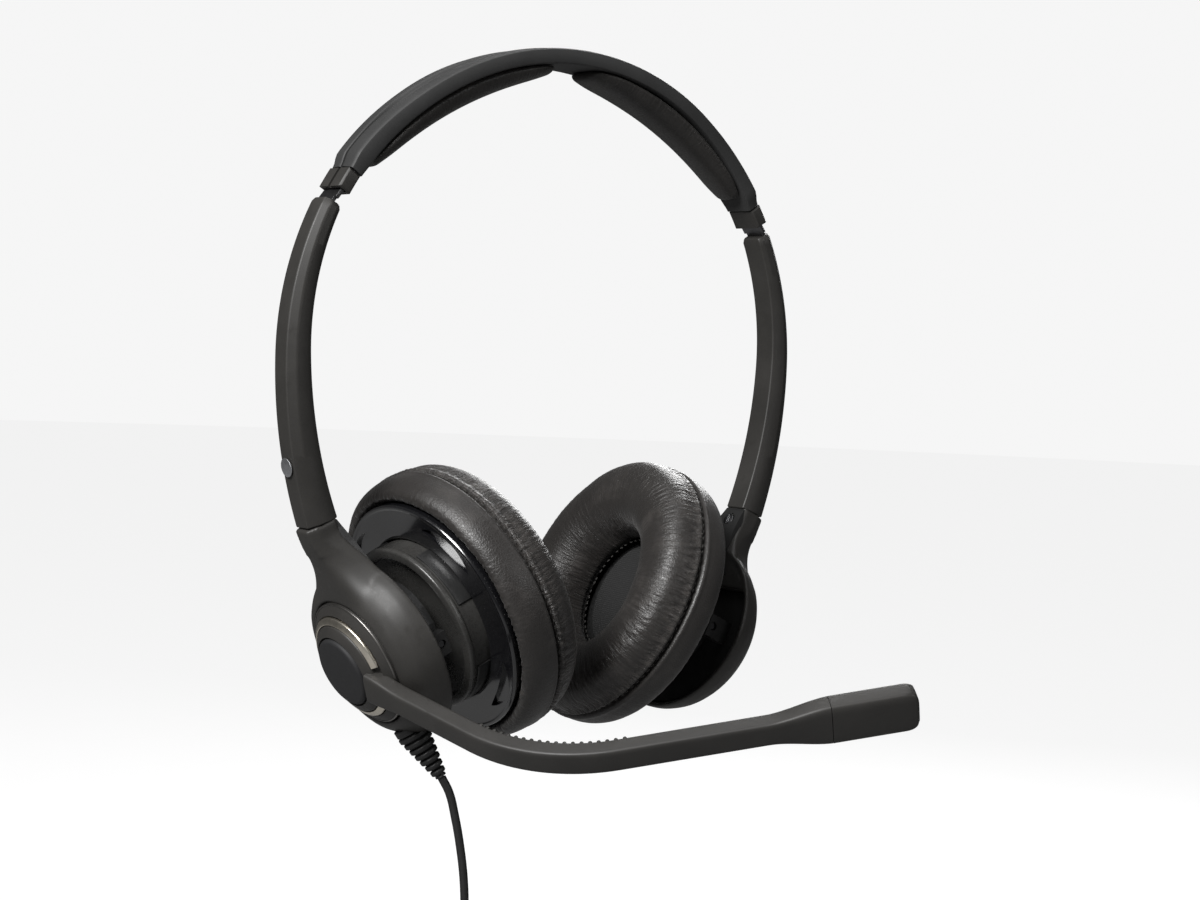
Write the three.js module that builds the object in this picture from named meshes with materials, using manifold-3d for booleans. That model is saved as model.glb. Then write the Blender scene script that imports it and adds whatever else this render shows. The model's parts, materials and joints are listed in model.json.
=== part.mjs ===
// Office headset: a sprung headband with two padded cushions, sliding arms, forked yokes,
// gimballed ear cups and a turning microphone boom. Millimetres, +Z up.
// The origin is the flat under the top of the band, -Y is the wearer's face side,
// and the boom is on the -X side. The left side is drawn, and the right one mirrors it.
import * as THREE from "three";
import { mergeVertices } from "three/addons/utils/BufferGeometryUtils.js";
import Module from "manifold-3d";

const wasm = await Module();
wasm.setup();

// ---- driving dimensions ------------------------------------------------------------
const GAP = 0.3; // between pieces that touch
const SIDES = 24; // facets round a turned piece
const BAND_INNER = 76.5; // radius of the band's underside
const BAND_OUTER = 81;
const BAND_HALF_WIDTH = 8.3;
const BAND_END_HALF_WIDTH = 5.6;
const BAND_END = 34.4; // elevations in degrees about the ring's centre
const COLLAR_END = 30.2;
const ARM_OUTER = 81.7;
const ARM_TOP = 27.8;
const LAND_HALF = 6; // flat under the band's top
const LOWER_ARC = 126; // the arm is straighter below its widest point
const LOWER_ARC_ANGLE = 19.85;
const ARM_TOP_THICKNESS = 5;
const ARM_END_THICKNESS = 8.5;
const ARM_HALF_WIDTH = 4.1;
const STRAP = { thick: 1, width: 8, tongue: 6.4, inside: 24, inArm: 6, radius: 79, from: 29.5, to: 47 };

const HUB = new THREE.Vector3(-62.1, 0, -155.6); // centre of the hub cap's face
const HUB_TILT = 26; // the hub's axis leans up towards the other ear
const AXLE_HOLE = 3.2;
const OPENING = 17; // hole in the yoke's dome that the hub fills
const DOME = 24.5;
const DOME_DEPTH = 16;
const WEB = { front: 7.5, back: 9 };
const JOINT_HEIGHT = 37.6; // from the hub's centre up to the arm joint
const GIMBAL_DEPTH = 20;
const GIMBAL = { inner: 11.4, outer: 14.6, half: 2 };
const EAR = { inner: 15.4, outer: 18.2, half: 3 };
const PIN = 0.9;
// At rest each cup leans a little less than its hub, and its face is turned slightly backwards.
const CUP_REST = { left: { tilt: 23.5, toe: 3 }, right: { tilt: 24.5, toe: 6.5 } };

const DRUM = 22.3;
const PLATE = 31.5;
const CUSHION = 37.3;
const CUSHION_HOLE = 15.7;

const BOOM_DROP = 18; // degrees below straight forward
const BOOM = { root: 9.8, depth: 2.4, slope: 5.5, straight: 34.5, bendRadius: 44, bend: 48.5, tip: 49.8 };
const MIC = { length: 20.5, half: 5.6, thick: 5.6 };

const CORD = 2.2;
const COIL = { mean: 13, section: 5.2, centre: new THREE.Vector3(-14, -13, -240) };
const PLUG = { length: 44, width: 12, thick: 8.4 };

// ---- materials -----------------------------------------------------------------------
const finish = (color, roughness, metalness = 0) =>
  new THREE.MeshStandardMaterial({ color, roughness, metalness });
const charcoal = finish(0x2b2a29, 0.6);
const softTouch = finish(0x232323, 0.75);
const darkPlastic = finish(0x1b1b1b, 0.55);
const glossBlack = finish(0x0c0c0d, 0.2);
const leatherette = finish(0x24211f, 0.45);
const chrome = finish(0xc9bda6, 0.15, 1);
const steel = finish(0x8c8c8c, 0.3, 1);
const rubber = finish(0x151515, 0.8);
const cloth = finish(0x1d1c1c, 0.95);
const silver = finish(0xb9bcc0, 0.4, 0.4);

// ---- solids --------------------------------------------------------------------------
const rad = THREE.MathUtils.degToRad;
const X = new THREE.Vector3(1, 0, 0);
const Y = new THREE.Vector3(0, 1, 0);
const Z = new THREE.Vector3(0, 0, 1);

function solid(geometry) {
  const bare = geometry.clone();
  bare.deleteAttribute("normal");
  bare.deleteAttribute("uv");
  const merged = mergeVertices(bare, 1e-4);
  const places = merged.attributes.position.array;
  const index = merged.index.array;
  const corner = [0, 1, 2].map(() => new THREE.Vector3());
  const faces = [];
  let volume = 0;
  for (let i = 0; i < index.length; i += 3) {
    const [a, b, c] = [index[i], index[i + 1], index[i + 2]];
    if (a === b || b === c || c === a) continue;
    faces.push(a, b, c);
    [a, b, c].forEach((at, k) => corner[k].fromArray(places, 3 * at));
    volume += corner[0].dot(corner[1].cross(corner[2]));
  }
  const triVerts = Uint32Array.from(volume < 0 ? faces.reverse() : faces);
  const vertProperties = Float32Array.from(places);
  return new wasm.Manifold(new wasm.Mesh({ numProp: 3, vertProperties, triVerts }));
}

function geometryOf(body) {
  const mesh = body.getMesh();
  const geometry = new THREE.BufferGeometry();
  geometry.setAttribute("position", new THREE.BufferAttribute(mesh.vertProperties, 3));
  geometry.setIndex(new THREE.BufferAttribute(mesh.triVerts, 1));
  return geometry;
}

const cut = (body, ...tools) => tools.reduce((rest, tool) => rest.subtract(tool), body);
const join = (...bodies) => bodies.reduce((sum, body) => sum.add(body));

// A profile of [radius, height] corners turned about the frame's Z.
function turned(frame, profile, sides = SIDES) {
  const points = profile.map(([r, h]) => new THREE.Vector2(r, h));
  if (profile[0][0] > 0) points.push(points[0].clone());
  return solid(new THREE.LatheGeometry(points, sides).rotateX(Math.PI / 2).applyMatrix4(frame));
}

const disc = (frame, radius, low, high, sides = 16) =>
  turned(frame, [[0, low], [radius, low], [radius, high], [0, high]], sides);
const tubeBody = (frame, inner, outer, low, high, sides = SIDES) =>
  turned(frame, [[inner, low], [outer, low], [outer, high], [inner, high]], sides);

// A box between two corners of the frame.
function block(frame, low, high) {
  const size = high.map((value, k) => value - low[k]);
  const box = new THREE.BoxGeometry(...size);
  box.translate(...low.map((value, k) => value + size[k] / 2));
  return solid(box.applyMatrix4(frame));
}

// A flat outline pushed along the frame's Z from low to high.
function slab(frame, outline, low, high, bevel = 0, curveSegments = 6) {
  const options = { depth: high - low - 2 * bevel, curveSegments, bevelEnabled: bevel > 0 };
  const edges = { bevelSize: bevel, bevelOffset: -bevel, bevelThickness: bevel, bevelSegments: 1 };
  Object.assign(options, edges);
  const geometry = new THREE.ExtrudeGeometry(outline, options);
  return solid(geometry.translate(0, 0, low + bevel).applyMatrix4(frame));
}

const polygon = (corners) => new THREE.Shape(corners.map(([x, y]) => new THREE.Vector2(x, y)));

// A section drawn across a path: place(x, y, t) puts the section's corner at t of the way.
function swept(section, steps, place) {
  const geometry = new THREE.ExtrudeGeometry(section, { depth: 1, steps, bevelEnabled: false });
  const at = geometry.attributes.position;
  for (let i = 0; i < at.count; i++) {
    const point = place(at.getX(i), at.getY(i), at.getZ(i));
    at.setXYZ(i, point.x, point.y, point.z);
  }
  return solid(geometry);
}

// ---- the scene graph -----------------------------------------------------------------
const headset = new THREE.Group();
function piece(name, material, body) {
  const mesh = new THREE.Mesh(geometryOf(body), material);
  mesh.name = name;
  headset.add(mesh);
}
const MIRROR = new THREE.Matrix4().makeScale(-1, 1, 1);
const mirrored = (body) => solid(geometryOf(body).applyMatrix4(MIRROR));
function pair(name, material, body) {
  piece(`left_${name}`, material, body);
  piece(`right_${name}`, material, mirrored(body));
}

// ---- headband ------------------------------------------------------------------------
// Section drawings in the X-Z plane are pushed along Y: the frame's Z is -Y here.
const SIDE_VIEW = new THREE.Matrix4().makeBasis(X, Z, Y.clone().negate());

// A stretch of ring between two radii and two elevations, seen from the front.
function ringShape(inner, outer, from, to) {
  const shape = new THREE.Shape();
  shape.absarc(0, -BAND_INNER, outer, rad(from), rad(to), false);
  shape.absarc(0, -BAND_INNER, inner, rad(to), rad(from), true);
  return shape;
}
function ringBody(inner, outer, from, to, half, bevel = 0) {
  const facets = Math.max(2, Math.round((to - from) / 8));
  return slab(SIDE_VIEW, ringShape(inner, outer, from, to), -half, half, bevel, facets);
}

// The strap runs straight, on a chord of the band's middle line.
const bandPoint = (radius, elevation) =>
  new THREE.Vector3(-radius * Math.cos(rad(elevation)), 0, radius * Math.sin(rad(elevation)) - BAND_INNER);
const strapMouth = bandPoint(STRAP.radius, STRAP.from);
const slideAxis = strapMouth.clone().sub(bandPoint(STRAP.radius, STRAP.to)).normalize(); // down and outwards
const strapFrame = new THREE.Matrix4()
  .makeBasis(slideAxis, Y, slideAxis.clone().cross(Y))
  .setPosition(strapMouth);
const strapBody = (from, to, thick, width) =>
  block(strapFrame, [from, -width / 2, -thick / 2], [to, width / 2, thick / 2]);
const strapSpace = (from, to) => strapBody(from, to, STRAP.thick + 2 * GAP, STRAP.width + 2 * GAP);

// The band's outline from above: widest in the middle.
function planOutline(top, end, reach) {
  const shape = new THREE.Shape();
  shape.moveTo(-reach, end);
  shape.quadraticCurveTo(-reach / 2, top, 0, top);
  shape.quadraticCurveTo(reach / 2, top, reach, end);
  shape.lineTo(reach, -end);
  shape.quadraticCurveTo(reach / 2, -top, 0, -top);
  shape.quadraticCurveTo(-reach / 2, -top, -reach, -end);
  return shape;
}

function bandCover() {
  const landRadius = Math.hypot(BAND_INNER, LAND_HALF);
  const landAngle = THREE.MathUtils.radToDeg(Math.asin(LAND_HALF / landRadius));
  const arch = new THREE.Shape();
  arch.absarc(0, -BAND_INNER, BAND_OUTER, rad(BAND_END), rad(180 - BAND_END), false);
  arch.absarc(0, -BAND_INNER, landRadius, rad(180 - BAND_END), rad(90 + landAngle), true);
  arch.absarc(0, -BAND_INNER, landRadius, rad(90 - landAngle), rad(BAND_END), true);
  const body = slab(SIDE_VIEW, arch, -BAND_HALF_WIDTH, BAND_HALF_WIDTH, 0.8, 10);
  const reach = BAND_OUTER * Math.cos(rad(BAND_END)) + 1;
  const outline = planOutline(BAND_HALF_WIDTH, BAND_END_HALF_WIDTH, reach);
  const plan = slab(new THREE.Matrix4(), outline, -BAND_INNER, 20);
  const groove = (end, half) => ringBody(BAND_OUTER - 0.7, BAND_OUTER + 2, end, 180 - end, half);
  const slit = groove(BAND_END - 5, 0.6);
  const channel = groove(46, 2.3);
  const pocket = strapSpace(-STRAP.inside - 6, 8);
  const springSlot = ringBody(77.8, 79.6, 46, 134, 4.3);
  return cut(body.intersect(plan), slit, channel, pocket, mirrored(pocket), springSlot);
}

function endCollar() {
  const top = 180 - BAND_END + 0.25;
  const body = ringBody(BAND_INNER + 0.4, BAND_OUTER - 0.3, top, 180 - COLLAR_END, 4.95, 0.5);
  return cut(body, strapSpace(-20, 8));
}

// Pads hang under the cover, with a space between them at the top.
function bandPad() {
  const low = rad(180 - 38);
  const high = rad(90 + 5.5);
  const section = polygon([[-1, 0], [1, 0], [1, 0.45], [0.72, 1], [-0.72, 1], [-1, 0.45]]);
  return swept(section, 10, (x, y, t) => {
    const angle = high + (low - high) * t;
    const ends = Math.sqrt(Math.sin(Math.PI * Math.min(Math.max(t, 0.02), 0.98)));
    const half = THREE.MathUtils.lerp(7.6, 5, t) * (0.75 + 0.25 * ends);
    const radius = BAND_INNER - 0.35 - y * (1.4 + 4 * ends);
    return new THREE.Vector3(radius * Math.cos(angle), half * x, radius * Math.sin(angle) - BAND_INNER);
  });
}

piece("band_cover", softTouch, bandCover());
piece("band_spring", steel, ringBody(78.2, 79.2, 52, 128, 4));
pair("end_collar", charcoal, endCollar());
pair("band_pad", leatherette, bandPad());

// ---- sliding arms ----------------------------------------------------------------------
const lowerCentre = new THREE.Vector3(LOWER_ARC - ARM_OUTER, 0, -BAND_INNER);
const upperLength = ARM_OUTER * rad(ARM_TOP);
const lowerLength = LOWER_ARC * rad(LOWER_ARC_ANGLE);

// A point of the arm: depth below its outer face, and how far along from its top.
function armPoint(depth, y, along) {
  const upper = along < upperLength;
  const centre = upper ? new THREE.Vector3(0, 0, -BAND_INNER) : lowerCentre;
  const radius = (upper ? ARM_OUTER : LOWER_ARC) - depth;
  const angle = (upperLength - along) / (upper ? ARM_OUTER : LOWER_ARC);
  return new THREE.Vector3(centre.x - radius * Math.cos(angle), y, centre.z + radius * Math.sin(angle));
}

function arm() {
  const edge = ARM_HALF_WIDTH;
  const section = polygon([[0, 2.7], [0.34, edge], [0.76, edge], [1, 3.4], [1, -3.4], [0.76, -edge],
    [0.34, -edge], [0, -2.7]]);
  const body = swept(section, 10, (x, y, t) => {
    const thick = THREE.MathUtils.lerp(ARM_TOP_THICKNESS, ARM_END_THICKNESS, t);
    return armPoint(x * thick, y, t * (upperLength + lowerLength));
  });
  return cut(body, strapBody(-10, STRAP.inArm + 1, STRAP.thick + 2 * GAP, STRAP.tongue + 2 * GAP));
}

// The steel strap is notched where it enters the narrower arm.
const strap = join(
  strapBody(-STRAP.inside, 1.5, STRAP.thick, STRAP.width),
  strapBody(1, STRAP.inArm, STRAP.thick, STRAP.tongue),
);
pair("slider_strap", steel, strap);
pair("arm", charcoal, arm());

// ---- yokes -----------------------------------------------------------------------------
// The hub's frame: x forwards, y down in the hub's plane, z inwards.
const inwards = new THREE.Vector3(Math.cos(rad(HUB_TILT)), 0, Math.sin(rad(HUB_TILT)));
const forwards = new THREE.Vector3(0, -1, 0);
const hubFrame = new THREE.Matrix4()
  .makeBasis(forwards, inwards.clone().cross(forwards), inwards)
  .setPosition(HUB);
const stemSide = hubFrame.clone().multiply(new THREE.Matrix4().makeBasis(Y, Z, X));
const gimbalFrame = hubFrame.clone().multiply(new THREE.Matrix4().makeTranslation(0, 0, GIMBAL_DEPTH));

// A frame turned so that its Z lies along one of its own axes.
function lyingAlong(frame, axis) {
  const turn = new THREE.Quaternion().setFromUnitVectors(Z, axis);
  return frame.clone().multiply(new THREE.Matrix4().makeRotationFromQuaternion(turn));
}

// The stem's plan: from the arm's width it flares to meet the dome.
function stemPlan(half, foot, low) {
  const shape = new THREE.Shape();
  shape.moveTo(-half, -JOINT_HEIGHT - 2);
  shape.lineTo(half, -JOINT_HEIGHT - 2);
  shape.quadraticCurveTo(half + 1.5, -25, foot, low);
  shape.lineTo(-foot, low);
  shape.quadraticCurveTo(-half - 1.5, -25, -half, -JOINT_HEIGHT - 2);
  return shape;
}

function yokeShapes() {
  const side = polygon([[-37.6, 4.4], [-30, 4.6], [-19, 6.3], [-10, 6.5], [-10, DOME_DEPTH],
    [-24, DOME_DEPTH], [-30, 14.8], [-36.9, 12.9]]);
  const thickness = slab(stemSide, side, -30, 30);
  const stem = slab(hubFrame, stemPlan(ARM_HALF_WIDTH, 13, -16.5), 0, 20).intersect(thickness);
  const dome = turned(hubFrame, [[OPENING, 5.5], [19.5, 6.4], [22.5, 9.5], [24.2, 13], [DOME, DOME_DEPTH],
    [DOME - 1.5, DOME_DEPTH], [22.7, 13.3], [21.2, 10.4], [18.8, WEB.back], [AXLE_HOLE, WEB.back],
    [AXLE_HOLE, WEB.front], [OPENING, WEB.front]]);
  const opening = disc(hubFrame, OPENING, -5, WEB.front, SIDES);
  const cavity = turned(hubFrame, [[0, WEB.back], [18.8, WEB.back], [21.2, 10.4], [22.7, 13.3],
    [DOME - 1.5, 20], [0, 20]]);
  const inner = slab(hubFrame, stemPlan(3.3, 10, -16.5), 9.8, 20).intersect(thickness);
  const innerSpace = slab(hubFrame, stemPlan(3.6, 10.4, -16), 9.5, 20);
  return { stem: cut(stem, opening, cavity), dome, inner, innerSpace };
}

const yoke = yokeShapes();
const plate = tubeBody(hubFrame, 7, 22.3, 13, 14.2);
const plateSpace = disc(hubFrame, 22.3 + GAP, 13 - GAP, 14.2 + GAP, SIDES);
const screwFrame = hubFrame.clone().multiply(new THREE.Matrix4().makeTranslation(0, -33.4, 13.2));
const screwHole = disc(screwFrame, 1.9, -1.6, 4, 12);

function yokeCover() {
  const ears = [-1, 1].map((side) => {
    const low = [side > 0 ? EAR.inner : -EAR.outer, -EAR.half, 14];
    const high = [side > 0 ? EAR.outer : -EAR.inner, EAR.half, GIMBAL_DEPTH + 1.8];
    return block(hubFrame, low, high);
  });
  const pinHoles = disc(lyingAlong(gimbalFrame, X), PIN + GAP, -20, 20, 8);
  const bridge = block(hubFrame, [-5.5, -23, 10.8], [5.5, -13.6, 14.2]);
  const whole = join(cut(yoke.inner, disc(hubFrame, 13.5, 0, 30, SIDES)), plate, bridge, ...ears);
  return cut(whole, screwHole, pinHoles);
}

pair("yoke_shell", charcoal, cut(join(yoke.stem, yoke.dome), yoke.innerSpace, plateSpace));
pair("yoke_cover", darkPlastic, yokeCover());
const screwSlot = block(screwFrame, [-0.35, -1.1, 0.4], [0.35, 1.1, 2]);
pair("yoke_screw", steel, cut(disc(screwFrame, 1.6, -1.2, 0.8, 12), screwSlot));

// ---- gimbals and ear cups ----------------------------------------------------------------
// A cup's frame, on the left side: x forwards, y down, z towards the ear.
const pivot = HUB.clone().addScaledVector(inwards, GIMBAL_DEPTH);
function leaningFrame(tilt) {
  const lean = new THREE.Vector3(Math.cos(rad(tilt)), 0, Math.sin(rad(tilt)));
  return new THREE.Matrix4().makeBasis(forwards, lean.clone().cross(forwards), lean).setPosition(pivot);
}

const gimbalRing = (frame) => cut(
  tubeBody(frame, GIMBAL.inner, GIMBAL.outer, -GIMBAL.half, GIMBAL.half, 20),
  disc(lyingAlong(frame, X), PIN + GAP, -20, 20, 8),
  disc(lyingAlong(frame, Y), PIN + GAP, -20, 20, 8),
);
const pinBody = (frame, side) =>
  disc(frame, PIN, side > 0 ? 11 : -17.6, side > 0 ? 17.6 : -11, 8);

function cupHousing(frame) {
  const shell = turned(frame, [[0, 5.4], [19.4, 5.4], [20, 3], [DRUM, 3.4], [DRUM, 10.2], [21.4, 11.4],
    [29.5, 11.5], [29.5, 12.7], [19, 12.7], [18, 7], [0, 7]]);
  const ears = [-1, 1].map((side) => block(
    frame,
    [-EAR.half, side > 0 ? EAR.inner : -EAR.outer, -1.8],
    [EAR.half, side > 0 ? EAR.outer : -EAR.inner, 6],
  ));
  return cut(join(shell, ...ears), disc(lyingAlong(frame, Y), PIN + GAP, -17.7, 17.7, 8));
}

// The glossy ring behind the cushion has curved slots through it.
function backplate(frame) {
  const ring = turned(frame, [[DRUM + 0.4, 9.4], [PLATE - 1.2, 9.4], [PLATE, 10.2], [PLATE, 11.2],
    [DRUM + 0.4, 11.2]]);
  const slots = [20, 110, 200, 290].map((start) => {
    const slot = new THREE.Shape();
    slot.absarc(0, 0, 29, rad(start), rad(start + 38), false);
    slot.absarc(0, 0, 26, rad(start + 30), rad(start + 8), true);
    return slab(frame, slot, 8, 13, 0, 3);
  });
  return cut(ring, ...slots);
}

const cushion = (frame) => turned(frame, [[31.9, 9.6], [35, 9.9], [37, 12.6], [CUSHION, 19], [36.6, 24],
  [34, 28], [30, 30.6], [25.5, 31.1], [21, 30], [17.6, 27], [15.9, 23], [CUSHION_HOLE, 19], [16.6, 16.4],
  [30.4, 15.2], [31.9, 14]]);

for (const [side, rest] of Object.entries(CUP_REST)) {
  const tilted = leaningFrame(rest.tilt);
  const cup = tilted.clone().multiply(new THREE.Matrix4().makeRotationY(rad(-rest.toe)));
  const add = (name, material, body) =>
    piece(`${side}_${name}`, material, side === "left" ? body : mirrored(body));
  add("gimbal_ring", darkPlastic, gimbalRing(tilted));
  add("front_tilt_pin", steel, pinBody(lyingAlong(gimbalFrame, X), 1));
  add("rear_tilt_pin", steel, pinBody(lyingAlong(gimbalFrame, X), -1));
  add("lower_swivel_pin", steel, pinBody(lyingAlong(cup, Y), 1));
  add("upper_swivel_pin", steel, pinBody(lyingAlong(cup, Y), -1));
  add("cup_housing", darkPlastic, cupHousing(cup));
  add("backplate", glossBlack, backplate(cup));
  add("baffle", darkPlastic, tubeBody(cup, 14.6, 30, 13.1, 14.6));
  const driver = [[0, 7.6], [9, 7.6], [9.4, 10.8], [14.2, 11.4], [14.2, 13.4], [0, 13.4]];
  add("speaker_driver", steel, turned(cup, driver, 16));
  add("speaker_cloth", cloth, turned(cup, [[0, 15], [15, 15], [15.4, 15.6], [0, 16.2]], 16));
  add("cushion", leatherette, cushion(cup));
}

// ---- hubs ------------------------------------------------------------------------------
// The boom's frame is the hub's, turned so that x runs out along the boom.
const boomFrame = hubFrame.clone().multiply(new THREE.Matrix4().makeRotationZ(rad(BOOM_DROP)));
const hubBody = turned(hubFrame, [[AXLE_HOLE, 2], [9.5, 2], [9.5, 0.9], [11.3, 2], [11.3, 4.6], [14, 4.6],
  [14, 3.6], [16.6, 5.6], [16.6, 7.2], [AXLE_HOLE, 7.2]]);
const accentRing = turned(hubFrame, [[11.6, 4.3], [11.6, 2.1], [13.7, 3.4], [13.7, 4.3]]);
const rootSlot = block(boomFrame, [BOOM.root - GAP, -4.4, -2], [20, 4.4, 8]);
const hubCap = turned(hubFrame, [[0, 0], [8.4, 0], [9.2, 0.7], [9.2, 1.7], [0, 1.7]], 20);
const axleProfile = [[0, 2.1], [2.9, 2.1], [2.9, 9.3], [6, 9.3], [6, 10.5], [2.6, 10.9], [0, 10.9]];
const axle = turned(hubFrame, axleProfile, 12);

piece("left_hub", charcoal, cut(hubBody, rootSlot));
piece("right_hub", charcoal, mirrored(hubBody));
piece("left_accent_ring", chrome, cut(accentRing, rootSlot));
piece("right_accent_ring", chrome, mirrored(accentRing));
pair("hub_cap", rubber, hubCap);
pair("hub_axle", steel, axle);

// ---- microphone boom ---------------------------------------------------------------------
// Straight from the hub, one bend towards the mouth, and straight again to the microphone.
const boomLength = BOOM.straight + BOOM.bendRadius * rad(BOOM.bend) + BOOM.tip;
function boomStation(s) {
  const bendStart = rad(BOOM.slope);
  const heading = bendStart + Math.min(Math.max((s - BOOM.straight) / BOOM.bendRadius, 0), rad(BOOM.bend));
  const first = Math.min(s, BOOM.straight);
  const point = new THREE.Vector2(BOOM.root, BOOM.depth);
  point.x += first * Math.cos(bendStart);
  point.y += first * Math.sin(bendStart);
  point.x += BOOM.bendRadius * (Math.sin(heading) - Math.sin(bendStart));
  point.y += BOOM.bendRadius * (Math.cos(bendStart) - Math.cos(heading));
  const last = Math.max(s - BOOM.straight - BOOM.bendRadius * rad(BOOM.bend), 0);
  point.x += last * Math.cos(heading);
  point.y += last * Math.sin(heading);
  return { point, heading };
}

// A point beside the boom: across its thickness, and up its height.
function boomPoint(across, height, s) {
  const { point, heading } = boomStation(s);
  const along = point.x - across * Math.sin(heading);
  return new THREE.Vector3(along, height, point.y + across * Math.cos(heading)).applyMatrix4(boomFrame);
}

const boomSection = polygon([[-1, -0.55], [-0.6, -1], [0.6, -1], [1, -0.55], [1, 0.55], [0.6, 1], [-0.6, 1],
  [-1, 0.55]]);
function boomArm() {
  return swept(boomSection, 16, (x, y, t) => {
    const s = t * boomLength;
    const toMic = THREE.MathUtils.smoothstep(s, boomLength - 14, boomLength);
    const half = THREE.MathUtils.lerp(THREE.MathUtils.lerp(3.7, 3.1, Math.min(t * 2, 1)), MIC.half, toMic);
    return boomPoint(x * 2.4, y * half, s);
  });
}

// The microphone's body: a flat paddle with a round end, open for the capsule on the mouth side.
function micBody() {
  const body = swept(boomSection, 7, (x, y, t) => {
    const round = Math.sqrt(Math.max(1 - Math.max((t - 0.72) / 0.3, 0) ** 2, 0.04));
    const across = x * (MIC.thick / 2) * (0.7 + 0.3 * round);
    return boomPoint(across, y * MIC.half * round, boomLength + GAP + t * MIC.length);
  });
  return cut(body, disc(micFrame, 3, 0, 5, 12));
}
const micStation = boomStation(boomLength + MIC.length * 0.5);
const micFrame = boomFrame.clone()
  .multiply(new THREE.Matrix4().makeTranslation(micStation.point.x, 0, micStation.point.y))
  .multiply(new THREE.Matrix4().makeRotationY(-micStation.heading));

piece("boom_arm", charcoal, boomArm());
piece("mic_housing", charcoal, micBody());
piece("mic_capsule", steel, disc(micFrame, 2.6, 0.4, 1.6, 12));
piece("mic_screen", cloth, disc(micFrame, 2.7, 1.9, 2.6, 12));

// A small round side marker on the arm's outer face.
const markerAt = armPoint(-0.3, 0, upperLength + 28);
const markerOut = armPoint(-10, 0, upperLength + 28).sub(markerAt).normalize();
const markerFrame = new THREE.Matrix4()
  .makeBasis(Y, markerOut.clone().cross(Y), markerOut)
  .setPosition(markerAt);
piece("side_marker", silver, disc(markerFrame, 2.4, 0, 0.3, 16));

// ---- cord ------------------------------------------------------------------------------
// A ribbed relief leaves the foot of the yoke; the cord hangs, and its length is tied in a coil.
const reliefStart = new THREE.Vector3(-43.6, -4.4, -169.9);
const reliefEnd = new THREE.Vector3(-36.6, -8.4, -182);
const reliefAxis = reliefEnd.clone().sub(reliefStart);
const reliefLength = reliefAxis.length();
const reliefTurn = new THREE.Quaternion().setFromUnitVectors(Z, reliefAxis.clone().normalize());
const reliefFrame = new THREE.Matrix4().makeRotationFromQuaternion(reliefTurn).setPosition(reliefStart);

function strainRelief() {
  const rings = 6;
  const profile = [[0, -1.5], [4.4, -1.5], [4.4, 1]];
  for (let ring = 0; ring < rings; ring++) {
    const low = 1.6 + (ring * (reliefLength - 2.4)) / rings;
    const radius = THREE.MathUtils.lerp(4.1, 2, ring / (rings - 1));
    profile.push([radius - 0.6, low], [radius, low + 0.5], [radius, low + 1.3]);
  }
  profile.push([1.7, reliefLength], [0, reliefLength]);
  return turned(reliefFrame, profile, 12);
}
const keepOut = disc(hubFrame, DOME + GAP, 0, DOME_DEPTH + GAP, SIDES);

const cordRoute = new THREE.CatmullRomCurve3([
  reliefEnd.clone().addScaledVector(reliefAxis.clone().normalize(), GAP),
  new THREE.Vector3(-34.9, -9.8, -186),
  new THREE.Vector3(-33.7, -11, -192),
  new THREE.Vector3(-32.4, -12, -200),
  new THREE.Vector3(-31.5, -12.7, -208),
  new THREE.Vector3(-31.1, -13, -216),
  new THREE.Vector3(-31.05, -13, -223),
  new THREE.Vector3(-31.05, -13, -230.6),
]);
const round = (radius) => new THREE.Shape().absarc(0, 0, radius, 0, 2 * Math.PI, false);
const tube = (curve, steps) => solid(new THREE.ExtrudeGeometry(round(CORD / 2), {
  curveSegments: 4, steps, bevelEnabled: false, extrudePath: curve,
}));

const coilFrame = new THREE.Matrix4().makeBasis(X, Z.clone().negate(), Y).setPosition(COIL.centre);
function coilBody() {
  const profile = [];
  for (let k = 0; k < 8; k++) {
    const angle = (k + 0.5) * (Math.PI / 4);
    profile.push([COIL.mean + COIL.section * Math.cos(angle), COIL.section * Math.sin(angle)]);
  }
  return turned(coilFrame, profile);
}

// The tie loops round the whole bundle at the foot of the coil.
function cordTie() {
  const outer = COIL.section + 2;
  const inner = COIL.section + 0.8;
  const frame = new THREE.Matrix4().makeBasis(Y, Z, X)
    .setPosition(COIL.centre.clone().add(new THREE.Vector3(0, 0, COIL.mean)));
  return tubeBody(frame, inner, outer, -3, 3, 12);
}

// The cord's tail leaves the same side of the coil and hangs into the plug.
const TAIL = { x: -30.4, y: -15.5, top: -249.4, length: 12 };
const tailRoute = new THREE.CatmullRomCurve3([0, 1, 2, 3].map((step) =>
  new THREE.Vector3(TAIL.x, TAIL.y, TAIL.top - (step * TAIL.length) / 3)));
const plugTop = TAIL.top - TAIL.length - GAP;
const plugFrame = new THREE.Matrix4().makeBasis(X, Y.clone().negate(), Z.clone().negate())
  .setPosition(TAIL.x, TAIL.y, plugTop);

function plugBody() {
  const half = PLUG.width / 2;
  const outline = polygon([[-2.4, 0], [2.4, 0], [3.6, 7], [half, 13], [half, PLUG.length],
    [-half, PLUG.length], [-half, 13], [-3.6, 7]]);
  const body = slab(plugFrame.clone().multiply(SIDE_VIEW), outline, -PLUG.thick / 2, PLUG.thick / 2, 1);
  const socket = block(plugFrame, [-4.2, -2.6, PLUG.length - 8], [4.2, 2.6, PLUG.length + 2]);
  const seat = block(plugFrame, [-3.3, 2.6, 18], [3.3, 6, 31]);
  return cut(body, socket, seat);
}

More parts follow.
